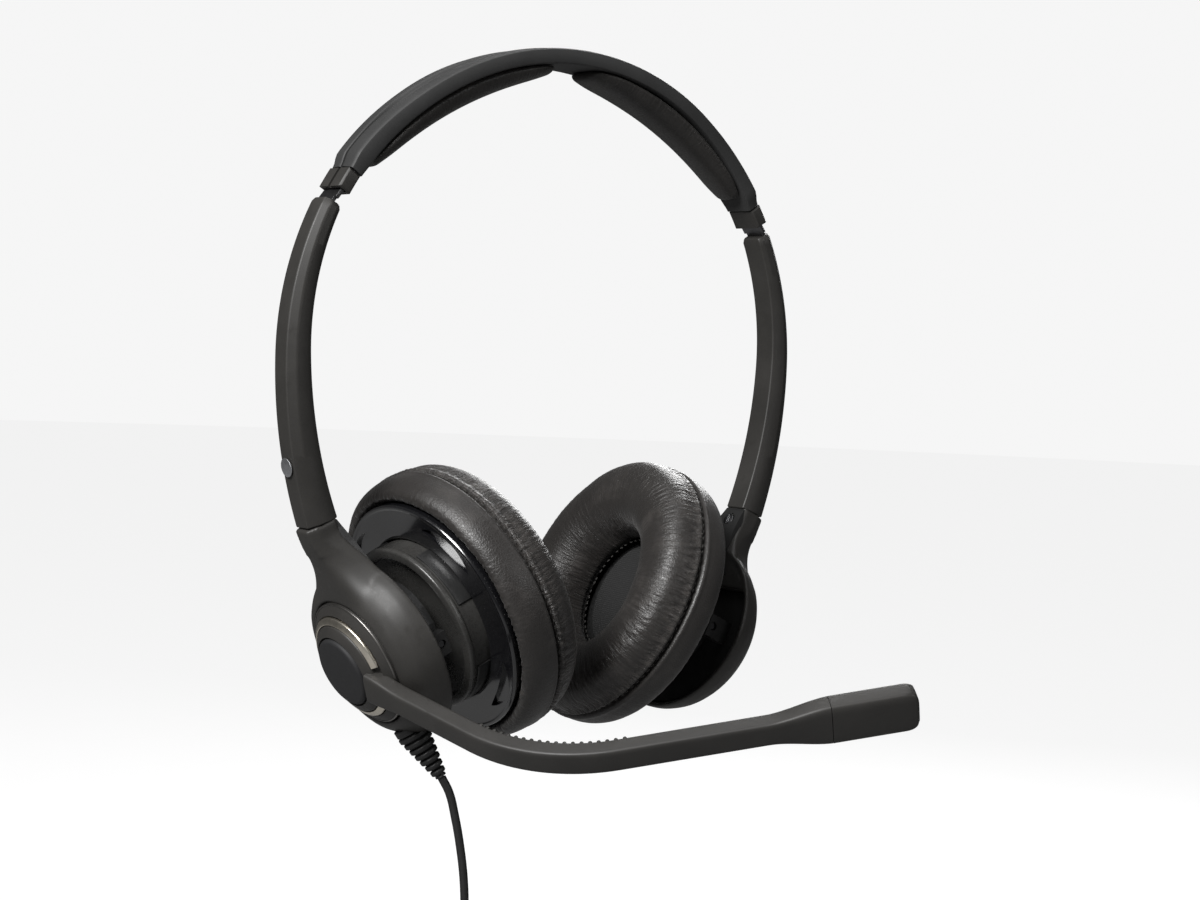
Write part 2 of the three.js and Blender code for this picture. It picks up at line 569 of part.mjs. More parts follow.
piece("strain_relief", rubber, cut(strainRelief(), keepOut));
piece("cord", rubber, tube(cordRoute, 20));
piece("cord_coil", rubber, coilBody());
piece("cord_tie", darkPlastic, cordTie());
piece("cord_tail", rubber, tube(tailRoute, 3));
piece("plug_body", darkPlastic, plugBody());
piece("plug_latch", charcoal, block(plugFrame, [-3, 2.9, 18.3], [3, 4.8, 30.7]));
const contactsFrom = PLUG.length - 7.7;
piece("plug_contacts", steel, block(plugFrame, [-3.2, -1.2, contactsFrom], [3.2, 1.2, PLUG.length - 1]));

export default headset;
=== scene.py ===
import json
import math
from functools import partial

import bmesh
import bpy
from mathutils import Matrix, Vector, noise

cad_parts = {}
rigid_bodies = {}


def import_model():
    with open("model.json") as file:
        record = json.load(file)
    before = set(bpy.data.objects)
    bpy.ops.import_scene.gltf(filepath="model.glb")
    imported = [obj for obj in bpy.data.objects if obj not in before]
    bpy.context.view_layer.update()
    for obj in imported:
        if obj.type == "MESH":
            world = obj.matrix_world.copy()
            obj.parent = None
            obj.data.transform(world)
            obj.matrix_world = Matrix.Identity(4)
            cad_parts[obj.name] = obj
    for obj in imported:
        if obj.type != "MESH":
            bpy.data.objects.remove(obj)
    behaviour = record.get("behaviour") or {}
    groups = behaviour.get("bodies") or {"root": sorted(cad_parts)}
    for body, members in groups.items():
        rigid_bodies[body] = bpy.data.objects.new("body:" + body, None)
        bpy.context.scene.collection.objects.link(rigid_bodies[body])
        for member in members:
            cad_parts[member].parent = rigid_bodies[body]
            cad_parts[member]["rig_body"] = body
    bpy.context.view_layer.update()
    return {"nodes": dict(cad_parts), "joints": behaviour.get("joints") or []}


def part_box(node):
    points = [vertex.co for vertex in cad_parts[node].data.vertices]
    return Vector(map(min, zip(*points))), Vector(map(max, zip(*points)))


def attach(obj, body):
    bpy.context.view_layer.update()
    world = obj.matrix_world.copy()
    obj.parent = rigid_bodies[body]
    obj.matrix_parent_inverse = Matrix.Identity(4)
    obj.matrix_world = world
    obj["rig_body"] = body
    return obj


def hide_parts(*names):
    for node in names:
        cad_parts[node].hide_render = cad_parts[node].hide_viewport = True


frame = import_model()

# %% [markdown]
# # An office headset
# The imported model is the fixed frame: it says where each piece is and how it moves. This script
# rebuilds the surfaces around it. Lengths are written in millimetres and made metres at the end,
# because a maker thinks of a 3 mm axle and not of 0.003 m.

MM = 0.001
scene = bpy.context.scene
joints = {joint["name"]: joint for joint in frame["joints"]}
print("joints:", ", ".join(joints))

# %% [markdown]
# ## Camera
# The headset is seen from its left front, almost level. A long lens keeps the two cups nearly the
# same size. The camera is turned in three steps, as on a tripod head: pan, tilt and a little roll.

# %% Camera
camera_data = bpy.data.cameras.new("camera")
camera_data.lens = 66
camera_data.sensor_width = 36
camera = bpy.data.objects.new("camera", camera_data)
pan = Matrix.Rotation(math.radians(-38.204), 4, "Z")
tilt = Matrix.Rotation(math.radians(90 - 2.804), 4, "X")
roll = Matrix.Rotation(math.radians(2.174), 4, "Z")
camera.matrix_world = Matrix.Translation(Vector((-347.8, -463.61, -71.24)) * MM) @ pan @ tilt @ roll
scene.collection.objects.link(camera)
scene.camera = camera

# %% [markdown]
# ## Frames of reference
# A hub, a cup and the boom each have a frame of their own, in which their shape is simple: x runs
# forwards, y down and z towards the ear. They come from the joints' axes. Everything is drawn on
# the left side, and the right side is its mirror image, with its cup turned a little further.

# %% Frames
FORWARDS = Vector((0, -1, 0))
BOOM_DROP = 18
SIDES = {"left": 1, "right": -1}
CUP_TOE = {"left": 3, "right": 6.5}
PACKED_FRAME = Matrix.Identity(4)


def basis(x, y, z, origin):
    """A frame with these three axes and this origin, in millimetres."""
    turn = Matrix((x, y, z)).transposed().to_4x4()
    return Matrix.Translation(origin) @ turn


def along(axis, origin):
    """A frame whose z lies along an axis."""
    return Matrix.Translation(origin) @ axis.to_track_quat("Z", "Y").to_matrix().to_4x4()


hub_centre = Vector(joints["boom_turn"]["pos_m"]) / MM
inwards = -Vector(joints["boom_turn"]["axis"]).normalized()
hub_frame = basis(FORWARDS, inwards.cross(FORWARDS), inwards, hub_centre)
boom_frame = hub_frame @ Matrix.Rotation(math.radians(BOOM_DROP), 4, "Z")


def cup_frame(side):
    """The frame of a cup as drawn on the left: its middle is the gimbal's pivot."""
    pivot = Vector(joints[f"{side}_tilt"]["pos_m"]) / MM
    axis = Vector(joints[f"{side}_swivel"]["axis"])
    down = -axis if side == "left" else Vector((-axis.x, 0, axis.z))
    pivot.x = -abs(pivot.x)
    toe_in = Matrix.Rotation(math.radians(-CUP_TOE[side]), 4, "Y")
    return basis(FORWARDS, down, FORWARDS.cross(down), pivot) @ toe_in


print("hub at", [round(value, 1) for value in hub_centre])

# %% [markdown]
# ## Shader maths
# A finish is a small formula: grain plus wear times colour. `Wire` wraps a node's socket, so that
# such a formula can be written as Python, and each operator adds one Math node. `Finish` owns a
# material and makes every other node through one method.


# %% Wires and finishes
class Wire:
    def __init__(self, finish, socket):
        self.finish = finish
        self.socket = socket

    def maths(self, operation, *values):
        return self.finish.node("ShaderNodeMath", {"operation": operation}, dict(enumerate(values)))

    def __add__(self, other):
        return self.maths("ADD", self, other)

    def __sub__(self, other):
        return self.maths("SUBTRACT", self, other)

    def __rsub__(self, other):
        return self.maths("SUBTRACT", other, self)

    def __mul__(self, other):
        return self.maths("MULTIPLY", self, other)

    __radd__ = __add__
    __rmul__ = __mul__

    def between(self, low, high):
        """0 below low, 1 above high, and smooth in the middle."""
        return self.finish.node(
            "ShaderNodeMapRange",
            {"interpolation_type": "SMOOTHSTEP"},
            {"Value": self, "From Min": low, "From Max": high},
        )


class Finish:
    def __init__(self, name, **uniform):
        self.material = bpy.data.materials.new(name)
        self.material.use_nodes = True
        self.tree = self.material.node_tree
        self.shader = self.tree.nodes["Principled BSDF"]
        for socket, value in uniform.items():
            self.shader.inputs[socket.replace("_", " ")].default_value = value

    def node(self, kind, settings=(), values=(), output=0):
        made = self.tree.nodes.new(kind)
        for name, value in dict(settings).items():
            if name == "stops":
                ramp = made.color_ramp
                while len(ramp.elements) < len(value):
                    ramp.elements.new(0.5)
                for element, (place, colour) in zip(ramp.elements, value):
                    element.position = place
                    element.color = (*colour, 1)
            else:
                setattr(made, name, value)
        for name, value in dict(values).items():
            self.feed(made.inputs[name], value)
        return Wire(self, made.outputs[output])

    def feed(self, socket, value):
        if isinstance(value, Wire):
            self.tree.links.new(value.socket, socket)
        else:
            socket.default_value = value

    def set(self, **inputs):
        for name, value in inputs.items():
            self.feed(self.shader.inputs[name.replace("_", " ")], value)
        return self.material

    def place(self):
        return self.node("ShaderNodeTexCoord", output="Object")

    def uv(self):
        return self.node("ShaderNodeUVMap", {"uv_map": "skin"})

    def stretched(self, place, x=1, y=1, z=1):
        return self.node("ShaderNodeMapping", {}, {"Vector": place, "Scale": (x, y, z)})

    def speckle(self, place, size, detail=2, rough=0.5):
        """Soft noise whose blots are about size millimetres across."""
        values = {"Vector": place, "Scale": 1 / (size * MM), "Detail": detail, "Roughness": rough}
        return self.node("ShaderNodeTexNoise", {}, values)

    def blend(self, mask, low, high):
        """A mix of two colours, which are the Mix node's sockets 6 and 7."""
        values = {"Factor": mask, 6: low, 7: high}
        return self.node("ShaderNodeMix", {"data_type": "RGBA"}, values, output=2)

    def bumped(self, height, depth, under=None):
        """A normal from a height of 0 to 1, depth millimetres deep."""
        values = {"Height": height, "Distance": depth * MM, "Strength": 1}
        if under:
            values["Normal"] = under
        return self.node("ShaderNodeBump", {}, values)


def shade(colour, times):
    return (*(channel * times for channel in colour), 1)


# %% [markdown]
# ## Moulded plastics and rubbers
# The arms, yokes and boom are spark-textured mouldings: a dense grain a quarter of a millimetre
# across, a little cloudiness from the mould, and faint rubbed patches that shine more. One recipe
# with different numbers gives the charcoal frame, the softer band cover, the satin inner parts and
# the rubbers.


# %% Moulded finish
def moulded(name, colour, gloss, grain=0.25, depth=0.012, rub=0.12):
    finish = Finish(name, Specular_IOR_Level=0.45)
    place = finish.place()
    fine = finish.speckle(place, grain, 3, 0.6)
    cloud = finish.speckle(place, 14, 3, 0.55)
    rubbed = finish.speckle(place, 5, 4, 0.65).between(0.55, 0.75)
    tone = (cloud * 0.6 + fine * 0.4).between(0.3, 0.7)
    base = finish.blend(tone, shade(colour, 0.82), shade(colour, 1.2))
    rough = (fine - 0.5) * 0.18 + (cloud - 0.5) * 0.16 + gloss - rubbed * rub
    normal = finish.bumped(fine, depth)
    return finish.set(Base_Color=base, Roughness=rough, Normal=normal)


charcoal = moulded("charcoal_moulding", (0.027, 0.0255, 0.0235), 0.50)
soft_cover = moulded("soft_touch_cover", (0.029, 0.029, 0.029), 0.62, grain=0.4, depth=0.016, rub=0.06)
inner_black = moulded("satin_inner_black", (0.019, 0.019, 0.019), 0.36, grain=0.5, depth=0.008)
drum_black = moulded("drum_satin", (0.040, 0.039, 0.037), 0.3, grain=0.9, depth=0.03, rub=0.1)
cap_rubber = moulded("cap_rubber", (0.013, 0.013, 0.014), 0.66, grain=0.3, depth=0.01, rub=0.05)
cord_rubber = moulded("cord_rubber", (0.012, 0.012, 0.012), 0.5, grain=0.6, depth=0.01)
print("mouldings ready")

# %% [markdown]
# ## Polished black and metals
# The plate behind each cushion is polished: what makes it look real is a haze of fine scratches
# and a little dust. The accent ring is polished warm metal with a faint grain, and the
# straps are brushed along their length.


# %% Polished and metal finishes
def polished_black():
    finish = Finish("polished_black", Specular_IOR_Level=0.6, Coat_Roughness=0.08)
    place = finish.place()
    dust = finish.speckle(place, 0.5, 2, 0.7).between(0.66, 0.78)
    haze = finish.speckle(finish.stretched(place, 1, 6, 6), 3, 4, 0.7)
    base = finish.blend(dust, (0.006, 0.006, 0.007, 1), (0.03, 0.03, 0.03, 1))
    rough = haze * 0.12 + 0.13 + dust * 0.3
    normal = finish.bumped(haze, 0.004)
    return finish.set(Base_Color=base, Roughness=rough, Normal=normal, Coat_Weight=1 - dust * 0.6)


def metal(name, colour, gloss, across=(1, 1, 1), grain=0.3, depth=0.003):
    finish = Finish(name)
    place = finish.place()
    brushed = finish.speckle(finish.stretched(place, *across), grain, 4, 0.7)
    stain = finish.speckle(place, 4, 3, 0.6)
    base = finish.blend(stain.between(0.35, 0.75), shade(colour, 0.9), shade(colour, 1.08))
    rough = brushed * 0.14 + gloss + (stain - 0.5) * 0.1
    metallic = 1 - stain.between(0.7, 0.9) * 0.1
    normal = finish.bumped(brushed, depth)
    return finish.set(Base_Color=base, Roughness=rough, Metallic=metallic, Normal=normal)


gloss_black = polished_black()
accent_metal = metal("accent_metal", (0.86, 0.80, 0.69), 0.24, grain=1.2, depth=0.002)
spring_steel = metal("spring_steel", (0.16, 0.16, 0.165), 0.3, across=(1, 8, 1))
pin_steel = metal("pin_steel", (0.11, 0.11, 0.115), 0.34)
driver_metal = metal("driver_metal", (0.34, 0.34, 0.35), 0.35)
contact_metal = metal("contact_metal", (0.72, 0.53, 0.22), 0.25)
# A lighter grey metal for the thin ring on each hub's rim: a painted highlight along that edge.
painted_highlight_edge = metal("painted_highlight_edge", (0.24, 0.23, 0.22), 0.3)
marker_foil = metal("marker_foil", (0.62, 0.63, 0.65), 0.34, grain=0.6, depth=0.006)

# %% [markdown]
# ## Leatherette and cloth
# Leatherette is a printed grain of small cells on a thin skin. Where the skin is gathered into a
# seam it also creases, in fine lines that run straight away from the seam. The skin's own map
# says which way that is: one way along the seam, the other across it, both in millimetres, and an
# attribute called crease says how strongly the skin is gathered. Along the creases the colour is
# painted lighter on the folds and darker between them: painted highlight and painted shade.


# %% Leatherette and cloth
def leatherette(name, colour, gloss):
    """The skin's own map is in millimetres already, so its noise sizes are divided by MM."""
    finish = Finish(name, Specular_IOR_Level=0.5, Sheen_Weight=0.08, Sheen_Roughness=0.4)
    skin = finish.uv()
    place = finish.place()
    crease = finish.node("ShaderNodeAttribute", {"attribute_name": "crease"}, output="Fac")
    cells = finish.node(
        "ShaderNodeTexVoronoi",
        {"feature": "DISTANCE_TO_EDGE"},
        {"Vector": place, "Scale": 1 / (0.7 * MM), "Randomness": 1},
    ).between(0.0, 0.22)
    lines = finish.speckle(finish.stretched(skin, 1, 0.16, 1), 0.9 / MM, 4, 0.62)
    hairs = finish.speckle(finish.stretched(skin, 1, 0.1, 1), 0.35 / MM, 3, 0.6)
    folds = lines.between(0.36, 0.6)
    mottle = finish.speckle(place, 9, 3, 0.6)
    # Random mottling, plus painted highlight and painted shade along the creases: lighter on the folds,
    # darker in the valleys between them.
    mottle_and_crease_shade = (mottle.between(0.45, 0.75) * 0.5 + folds * crease * 0.5).between(0.1, 0.9)
    base = finish.blend(mottle_and_crease_shade, shade(colour, 0.7), shade(colour, 1.45))
    rough = gloss + (mottle - 0.5) * 0.14 - folds * crease * 0.07 + (1 - cells) * 0.12
    fine = finish.bumped(cells, 0.022)
    creased = finish.bumped(folds * crease + hairs * crease * 0.3, 0.14, fine)
    return finish.set(Base_Color=base, Roughness=rough, Normal=creased)


def woven(name, colour, pitch):
    finish = Finish(name, Sheen_Weight=0.08, Sheen_Roughness=0.5)
    place = finish.place()
    waves = []
    for axis in ("Y", "Z"):
        settings = {"wave_type": "BANDS", "bands_direction": axis, "wave_profile": "SIN"}
        values = {"Vector": place, "Scale": 0.31 / (pitch * MM), "Distortion": 0.6, "Detail": 1}
        waves.append(finish.node("ShaderNodeTexWave", settings, values, output="Fac"))
    weave = waves[0] * waves[1]
    fluff = finish.speckle(place, 0.5, 4, 0.7)
    tone = (weave * 0.6 + fluff * 0.4).between(0.2, 0.8)
    base = finish.blend(tone, shade(colour, 0.6), shade(colour, 1.5))
    normal = finish.bumped(tone, 0.1)
    return finish.set(Base_Color=base, Roughness=0.82 + fluff * 0.15, Normal=normal)


cushion_skin = leatherette("cushion_leatherette", (0.030, 0.027, 0.025), 0.38)
pad_skin = leatherette("pad_leatherette", (0.024, 0.022, 0.020), 0.4)
speaker_weave = woven("speaker_cloth", (0.006, 0.006, 0.006), 0.5)
mic_weave = woven("mic_mesh", (0.02, 0.02, 0.02), 0.35)
thread = woven("thread", (0.05, 0.047, 0.043), 0.3)
print(len(bpy.data.materials), "materials")

# %% [markdown]
# ## Tools for shapes
# Three ways of shaping make nearly every piece. `turned` spins a profile round an axis, as a
# lathe does. `swept` pulls a section straight and then bends it along a path. `finished` gives
# the mesh its place, its material and the body that it rides on.


# %% Turning and sweeping
def rounded(corners, radius, steps=4, closed=True):
    """The outline with each corner softened by a short curve."""
    points = []
    last = len(corners) - 1
    for k, corner in enumerate(corners):
        corner = Vector(corner)
        if not closed and k in (0, last):
            points.append(corner)
            continue
        before = Vector(corners[k - 1]) - corner
        after = Vector(corners[(k + 1) % len(corners)]) - corner
        reach = min(radius, before.length * 0.45, after.length * 0.45)
        start = corner + before.normalized() * reach
        end = corner + after.normalized() * reach
        for step in range(steps + 1):
            t = step / steps
            points.append(start * (1 - t) ** 2 + corner * 2 * t * (1 - t) + end * t * t)
    return [tuple(point) for point in points]


def chain(bm, points, closed):
    verts = [bm.verts.new(point) for point in points]
    pairs = list(zip(verts, verts[1:]))
    if closed:
        pairs.append((verts[-1], verts[0]))
    return verts + [bm.edges.new(pair) for pair in pairs]


def close_up(bm):
    """Merges doubles, closes the ends and turns every face outwards."""
    bmesh.ops.remove_doubles(bm, verts=bm.verts, dist=1e-4)
    edges = [edge for edge in bm.edges if edge.is_boundary]
    if edges:
        bmesh.ops.holes_fill(bm, edges=edges)
    bmesh.ops.recalc_face_normals(bm, faces=bm.faces)
    return bm


def turned(profile, steps=96, angle=360, start=0):
    bm = bmesh.new()
    closed = profile[0][0] > 0
    geom = chain(bm, [(r, 0, h) for r, h in profile], closed)
    turn = Matrix.Rotation(math.radians(start), 3, "Z")
    bmesh.ops.rotate(bm, cent=(0, 0, 0), matrix=turn, verts=bm.verts)
    bmesh.ops.spin(
        bm, geom=geom, cent=(0, 0, 0), axis=(0, 0, 1), angle=math.radians(angle),
        steps=steps, use_merge=angle == 360,
    )
    return close_up(bm)


def swept(section, steps, place):
    """place(x, y, t) puts the section's point (x, y) at t of the way along."""
    bm = bmesh.new()
    geom = chain(bm, [(x, y, 0) for x, y in section], True)
    bmesh.ops.spin(
        bm, geom=geom, cent=(0, 0, 0), axis=(0, 0, 1), dvec=(0, 0, 1 / steps), angle=0,
        steps=steps, use_merge=False,
    )
    close_up(bm)
    for vert in bm.verts:
        vert.co = place(*vert.co)
    bmesh.ops.recalc_face_normals(bm, faces=bm.faces)
    return bm


def merged(*shapes):
    """Several bmeshes as one."""
    whole = bmesh.new()
    for shape in shapes:
        mesh = bpy.data.meshes.new("part")
        shape.to_mesh(mesh)
        shape.free()
        whole.from_mesh(mesh)
        bpy.data.meshes.remove(mesh)
    return whole


# %% Finishing a piece
def settle(bm, place, side="left"):
    """Puts a shape drawn in millimetres in its frame, in metres, on its side of the headset."""
    bmesh.ops.transform(bm, matrix=Matrix.Scale(MM, 4) @ place, verts=bm.verts)
    if side == "right":
        bmesh.ops.scale(bm, vec=(-1, 1, 1), verts=bm.verts)
        bmesh.ops.reverse_faces(bm, faces=bm.faces)
    return bm


def finished(name, bm, body, material, replaced=(), edge=0.0, sharp=35):
    mesh = bpy.data.meshes.new(name)
    bm.to_mesh(mesh)
    bm.free()
    mesh.materials.append(material)
    mesh.shade_smooth()
    if not edge:
        mesh.set_sharp_from_angle(angle=math.radians(sharp))
    piece = bpy.data.objects.new(name, mesh)
    scene.collection.objects.link(piece)
    if edge:
        bevel = piece.modifiers.new("edges", "BEVEL")
        bevel.width = edge * MM
        bevel.segments = 3
        bevel.limit_method = "ANGLE"
        bevel.angle_limit = math.radians(28)
        bevel.harden_normals = True
    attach(piece, body)
    if replaced:
        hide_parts(*replaced)
    return piece


def refined(node, material, edge):
    """A copy of a CAD node's solid, merged, with its flat faces whole and its edges rounded."""
    bm = bmesh.new()
    bm.from_mesh(frame["nodes"][node].data)
    bmesh.ops.remove_doubles(bm, verts=bm.verts, dist=1e-6)
    bmesh.ops.dissolve_limit(bm, angle_limit=math.radians(1), verts=bm.verts, edges=bm.edges)
    body = frame["nodes"][node]["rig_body"]
    return finished(f"{node}_shape", bm, body, material, (node,), edge)


def dressed(node, material):
    """Gives a CAD node that is shown as it is one of the materials above."""
    frame["nodes"][node].data.materials[0] = material


def apply_modifiers(piece):
    """Makes the piece's modifiers part of its mesh."""
    shape = piece.evaluated_get(bpy.context.evaluated_depsgraph_get())
    mesh = bpy.data.meshes.new_from_object(shape)
    piece.modifiers.clear()
    piece.data = mesh


# %% [markdown]
# ## The cord
# Quick-release office headsets have about 0.9 m of thin round cord, 2.2 mm thick, ending in a flat
# connector. It leaves a ribbed relief under the left yoke and hangs. The length that isn't in use
# is wound into ten turns, held by a tie. In a neat coil the turns lie side by side, so each turn
# moves on by one place round the bundle, and one place is left free for the way in and out.

# %% Cord route
CORD = 2.2
COIL_MEAN = 13
COIL_RING = 4.05
COIL_CENTRE = Vector((-14, -13, -240))
COIL_TURNS = 10
COIL_PLACES = 11
HANG = [
    (-36.45, -8.5, -182.3), (-34.9, -9.8, -186), (-33.7, -11, -192), (-32.4, -12, -200),
    (-31.5, -12.7, -208), (-31.1, -13, -216), (-31.05, -13, -223), (-31.05, -13, -229),
    (-31.05, -13, -234.5),
]
TAIL = [
    (-30.5, -15.3, -245.5), (-30.45, -15.4, -250), (-30.4, -15.5, -256), (-30.4, -15.5, -261.3),
]


def coil_points(per_turn=16):
    points = []
    for k in range(COIL_TURNS * per_turn + 1):
        turn = k / per_turn
        around = 2 * math.pi * turn + math.pi
        place = 2 * math.pi * turn / COIL_PLACES
        radius = COIL_MEAN + COIL_RING * math.cos(place)
        aside = COIL_RING * math.sin(place)
        offset = Vector((radius * math.cos(around), aside, radius * math.sin(around)))
        points.append(COIL_CENTRE + offset)
    return points


def cord_curve(points):
    data = bpy.data.curves.new("cord_line", "CURVE")
    data.dimensions = "3D"
    data.bevel_depth = CORD / 2 * MM
    data.bevel_resolution = 3
    data.resolution_u = 4
    data.use_fill_caps = True
    line = data.splines.new("BEZIER")
    line.bezier_points.add(len(points) - 1)
    for knot, point in zip(line.bezier_points, points):
        knot.co = Vector(point) * MM
        knot.handle_left_type = knot.handle_right_type = "AUTO"
    data.materials.append(cord_rubber)
    piece = bpy.data.objects.new("cord_line", data)
    scene.collection.objects.link(piece)
    return piece


route = [Vector(point) for point in HANG] + coil_points() + [Vector(point) for point in TAIL]
cord = cord_curve(route)
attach(cord, "left_slider")
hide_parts("cord", "cord_coil", "cord_tail")

# %% [markdown]
# ## Plug, tie and relief
# The connector is a flat moulding with finger grips, a latch and a row of contacts. The tie is a
# soft ring round the bundle. The relief is a cone of separate rings on a core: it bends easily,
# and it can't be kinked.

# %% Plug and tie
plug = refined("plug_body", inner_black, 0.35)
latch = refined("plug_latch", charcoal, 0.4)
contacts = refined("plug_contacts", contact_metal, 0.15)
tie = refined("cord_tie", cord_rubber, 0.4)


GRIP_COUNT = 6
GRIP_PITCH = 1.7
GRIP_START = 7
GRIP_RADIUS = 0.55


def plug_grips():
    """Finger ribs on both broad faces of the connector."""
    low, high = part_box("plug_body")
    middle = (low + high) / 2 / MM
    half = (high - low) / 2 / MM
    shapes = []
    for k in range(GRIP_COUNT):
        height = low.z / MM + GRIP_START + GRIP_PITCH * k
        for face in (-1, 1):
            bm = bmesh.new()
            bmesh.ops.create_cone(
                bm, cap_ends=True, segments=12, radius1=GRIP_RADIUS, radius2=GRIP_RADIUS,
                depth=half.x * 1.3, matrix=Matrix.Rotation(math.pi / 2, 4, "Y"),
            )
            shift = Vector((middle.x, middle.y + face * half.y, height))
            bmesh.ops.translate(bm, vec=shift, verts=bm.verts)
            shapes.append(bm)
    return settle(merged(*shapes), PACKED_FRAME)


grips = finished("plug_grips", plug_grips(), "left_slider", cord_rubber)

# %% Strain relief
RELIEF_START = Vector((-43.6, -4.4, -169.9))
RELIEF_END = Vector((-36.6, -8.4, -182))
RELIEF_RINGS = 7
RELIEF_WIDE = 4.3
RELIEF_TAPER = 2.3
RELIEF_FOOT = [(0, -1), (4.2, -1), (4.2, 0.6), (3.4, 0.9)]


def relief_profile():
    length = (RELIEF_END - RELIEF_START).length
    pitch = (length - 1.4) / RELIEF_RINGS
    profile = list(RELIEF_FOOT)
    for ring in range(RELIEF_RINGS):
        low = 1.1 + ring * pitch
        radius = RELIEF_WIDE - RELIEF_TAPER * ring / (RELIEF_RINGS - 1)
        core = radius - 0.75
        profile += [
            (core, low), (radius - 0.15, low + 0.1), (radius, low + 0.3),
            (radius - 0.05, low + pitch * 0.6), (radius - 0.3, low + pitch * 0.7),
            (core, low + pitch * 0.72),
        ]
    return profile + [(1.5, length), (0, length)]


relief = settle(turned(relief_profile(), 48), along(RELIEF_END - RELIEF_START, RELIEF_START))
finished(
    "relief_rings", relief, "left_slider", cord_rubber, ("strain_relief",), sharp=50
)

# %% [markdown]
# ## The headband
# The band is a spring in a soft cover. From outside it shows two rails with a groove between them,
# a fine slit near the ends that opens into a shallow channel over the top. The section is drawn
# once, with the groove in it, and swept round the band; its width and the groove's depth change
# on the way.

# %% Band cover
BAND_INNER = 76.5
BAND_OUTER = 81
BAND_END = 34.4
BAND_HALF = 5.6
BAND_SPREAD = 2.7
RAIL_EDGE = 0.36
SLIT_HALF = 0.55
CHANNEL_SPREAD = 1.85


def band_place(radius, y, elevation):
    """Where a point is on the band's arc, whose ends lie at 0 and 180 degrees of elevation."""
    angle = math.radians(elevation)
    return Vector((-radius * math.cos(angle), y, radius * math.sin(angle) - BAND_INNER))


def smooth(low, high, value):
    """0 below low, 1 above high, and eased between them."""
    t = min(max((value - low) / (high - low), 0), 1)
    return t * t * (3 - 2 * t)


BAND_SECTION = rounded(
    [(-1, 0), (1, 0), (1, 1), (0.34, 1), (0.2, 0.69), (-0.2, 0.69), (-0.34, 1), (-1, 1)], 0.14, 3
)


def band_point(x, y, t):
    """x runs across the band, y from its underside to its outer face, and t from end to end."""
    elevation = BAND_END + (180 - 2 * BAND_END) * t
    from_end = min(elevation - BAND_END, 180 - BAND_END - elevation)
    middle = math.cos(math.radians(elevation - 90))
    half = BAND_HALF + BAND_SPREAD * smooth(0.6, 1, middle)
    groove = SLIT_HALF + CHANNEL_SPREAD * smooth(6, 22, from_end)
    rail = abs(x)
    if rail < RAIL_EDGE:
        x = math.copysign(rail / RAIL_EDGE * groove, x)
    else:
        x = math.copysign(groove + (rail - RAIL_EDGE) / 0.64 * (half - groove), x)
    end = 1 - 0.22 * (1 - smooth(0, 3, from_end)) + 0.16 * (1 - smooth(3, 22, from_end))
    crown = 1 - 0.12 * (x / half) ** 2
    radius = BAND_INNER + (BAND_OUTER - BAND_INNER) * y * end * crown
    return band_place(radius, x * (0.86 + 0.14 * smooth(0, 3, from_end)), elevation)


cover = settle(swept(BAND_SECTION, 120, band_point), PACKED_FRAME)
finished(
    "band_cover_skin", cover, "headband", soft_cover, ("band_cover",), edge=0.5
)
dressed("band_spring", spring_steel)

# %% [markdown]
# The end collars hold the straps. They are stepped down from the cover, with a soft bevel that
# catches the light, so the CAD solids are copied and their edges rounded. The slit between the
# rails runs on over each collar: a Boolean modifier cuts it and is applied at once.

# %% Collars and straps
COLLAR_SLIT_HALF = 0.5
COLLAR_SLIT_DEPTH = 0.95
COLLAR_SLIT_START = 28
COLLAR_SLIT_SPAN = 8


def carve(piece, cutter):
    """Cuts the cutter out of the piece. It is drawn in the same frame, then thrown away."""
    mesh = bpy.data.meshes.new("cutter")
    cutter.to_mesh(mesh)
    cutter.free()
    tool = bpy.data.objects.new("cutter", mesh)
    scene.collection.objects.link(tool)
    cut = piece.modifiers.new("carve", "BOOLEAN")
    cut.operation = "DIFFERENCE"
    cut.solver = "EXACT"
    cut.object = tool
    apply_modifiers(piece)
    bpy.data.objects.remove(tool)


def slit_point(x, y, t):
    """The cutter runs along the collar and stands out of its outer face."""
    radius = BAND_OUTER - COLLAR_SLIT_DEPTH + 2 * y
    return band_place(radius, x * COLLAR_SLIT_HALF, COLLAR_SLIT_START + COLLAR_SLIT_SPAN * t)


for side in SIDES:
    collar = refined(f"{side}_end_collar", charcoal, 0.6)
    cutter = swept([(-1, 0), (1, 0), (1, 1), (-1, 1)], 8, slit_point)
    carve(collar, settle(cutter, PACKED_FRAME, side))
    refined(f"{side}_slider_strap", spring_steel, 0.12)

# %% [markdown]
# ## Arms
# Each arm is a curved bar with six sides: broad faces in and out, and chamfers along the outer
# edges that show as a bright line. It thickens towards the yoke.

# %% Arms
ARM_OUTER = 81.7
ARM_TOP = 27.8
LOWER_ARC = 126
LOWER_ARC_ANGLE = 19.85
UPPER_LENGTH = ARM_OUTER * math.radians(ARM_TOP)
ARM_LENGTH = UPPER_LENGTH + LOWER_ARC * math.radians(LOWER_ARC_ANGLE)
ARM_THIN = 5
ARM_SWELL = 3.5
ARM_SECTION = [
    (0, 2.7), (0.34, 4.1), (0.76, 4.1), (1, 3.4), (1, -3.4), (0.76, -4.1), (0.34, -4.1), (0, -2.7),
]


def arm_place(depth, y, distance):
    """Down the arm's two arcs: distance runs from its top, and depth in from its outer face."""
    upper = distance < UPPER_LENGTH
    arc = ARM_OUTER if upper else LOWER_ARC
    centre_x = 0 if upper else LOWER_ARC - ARM_OUTER
    angle = (UPPER_LENGTH - distance) / arc
    radius = arc - depth
    return Vector((centre_x - radius * math.cos(angle), y, radius * math.sin(angle) - BAND_INNER))


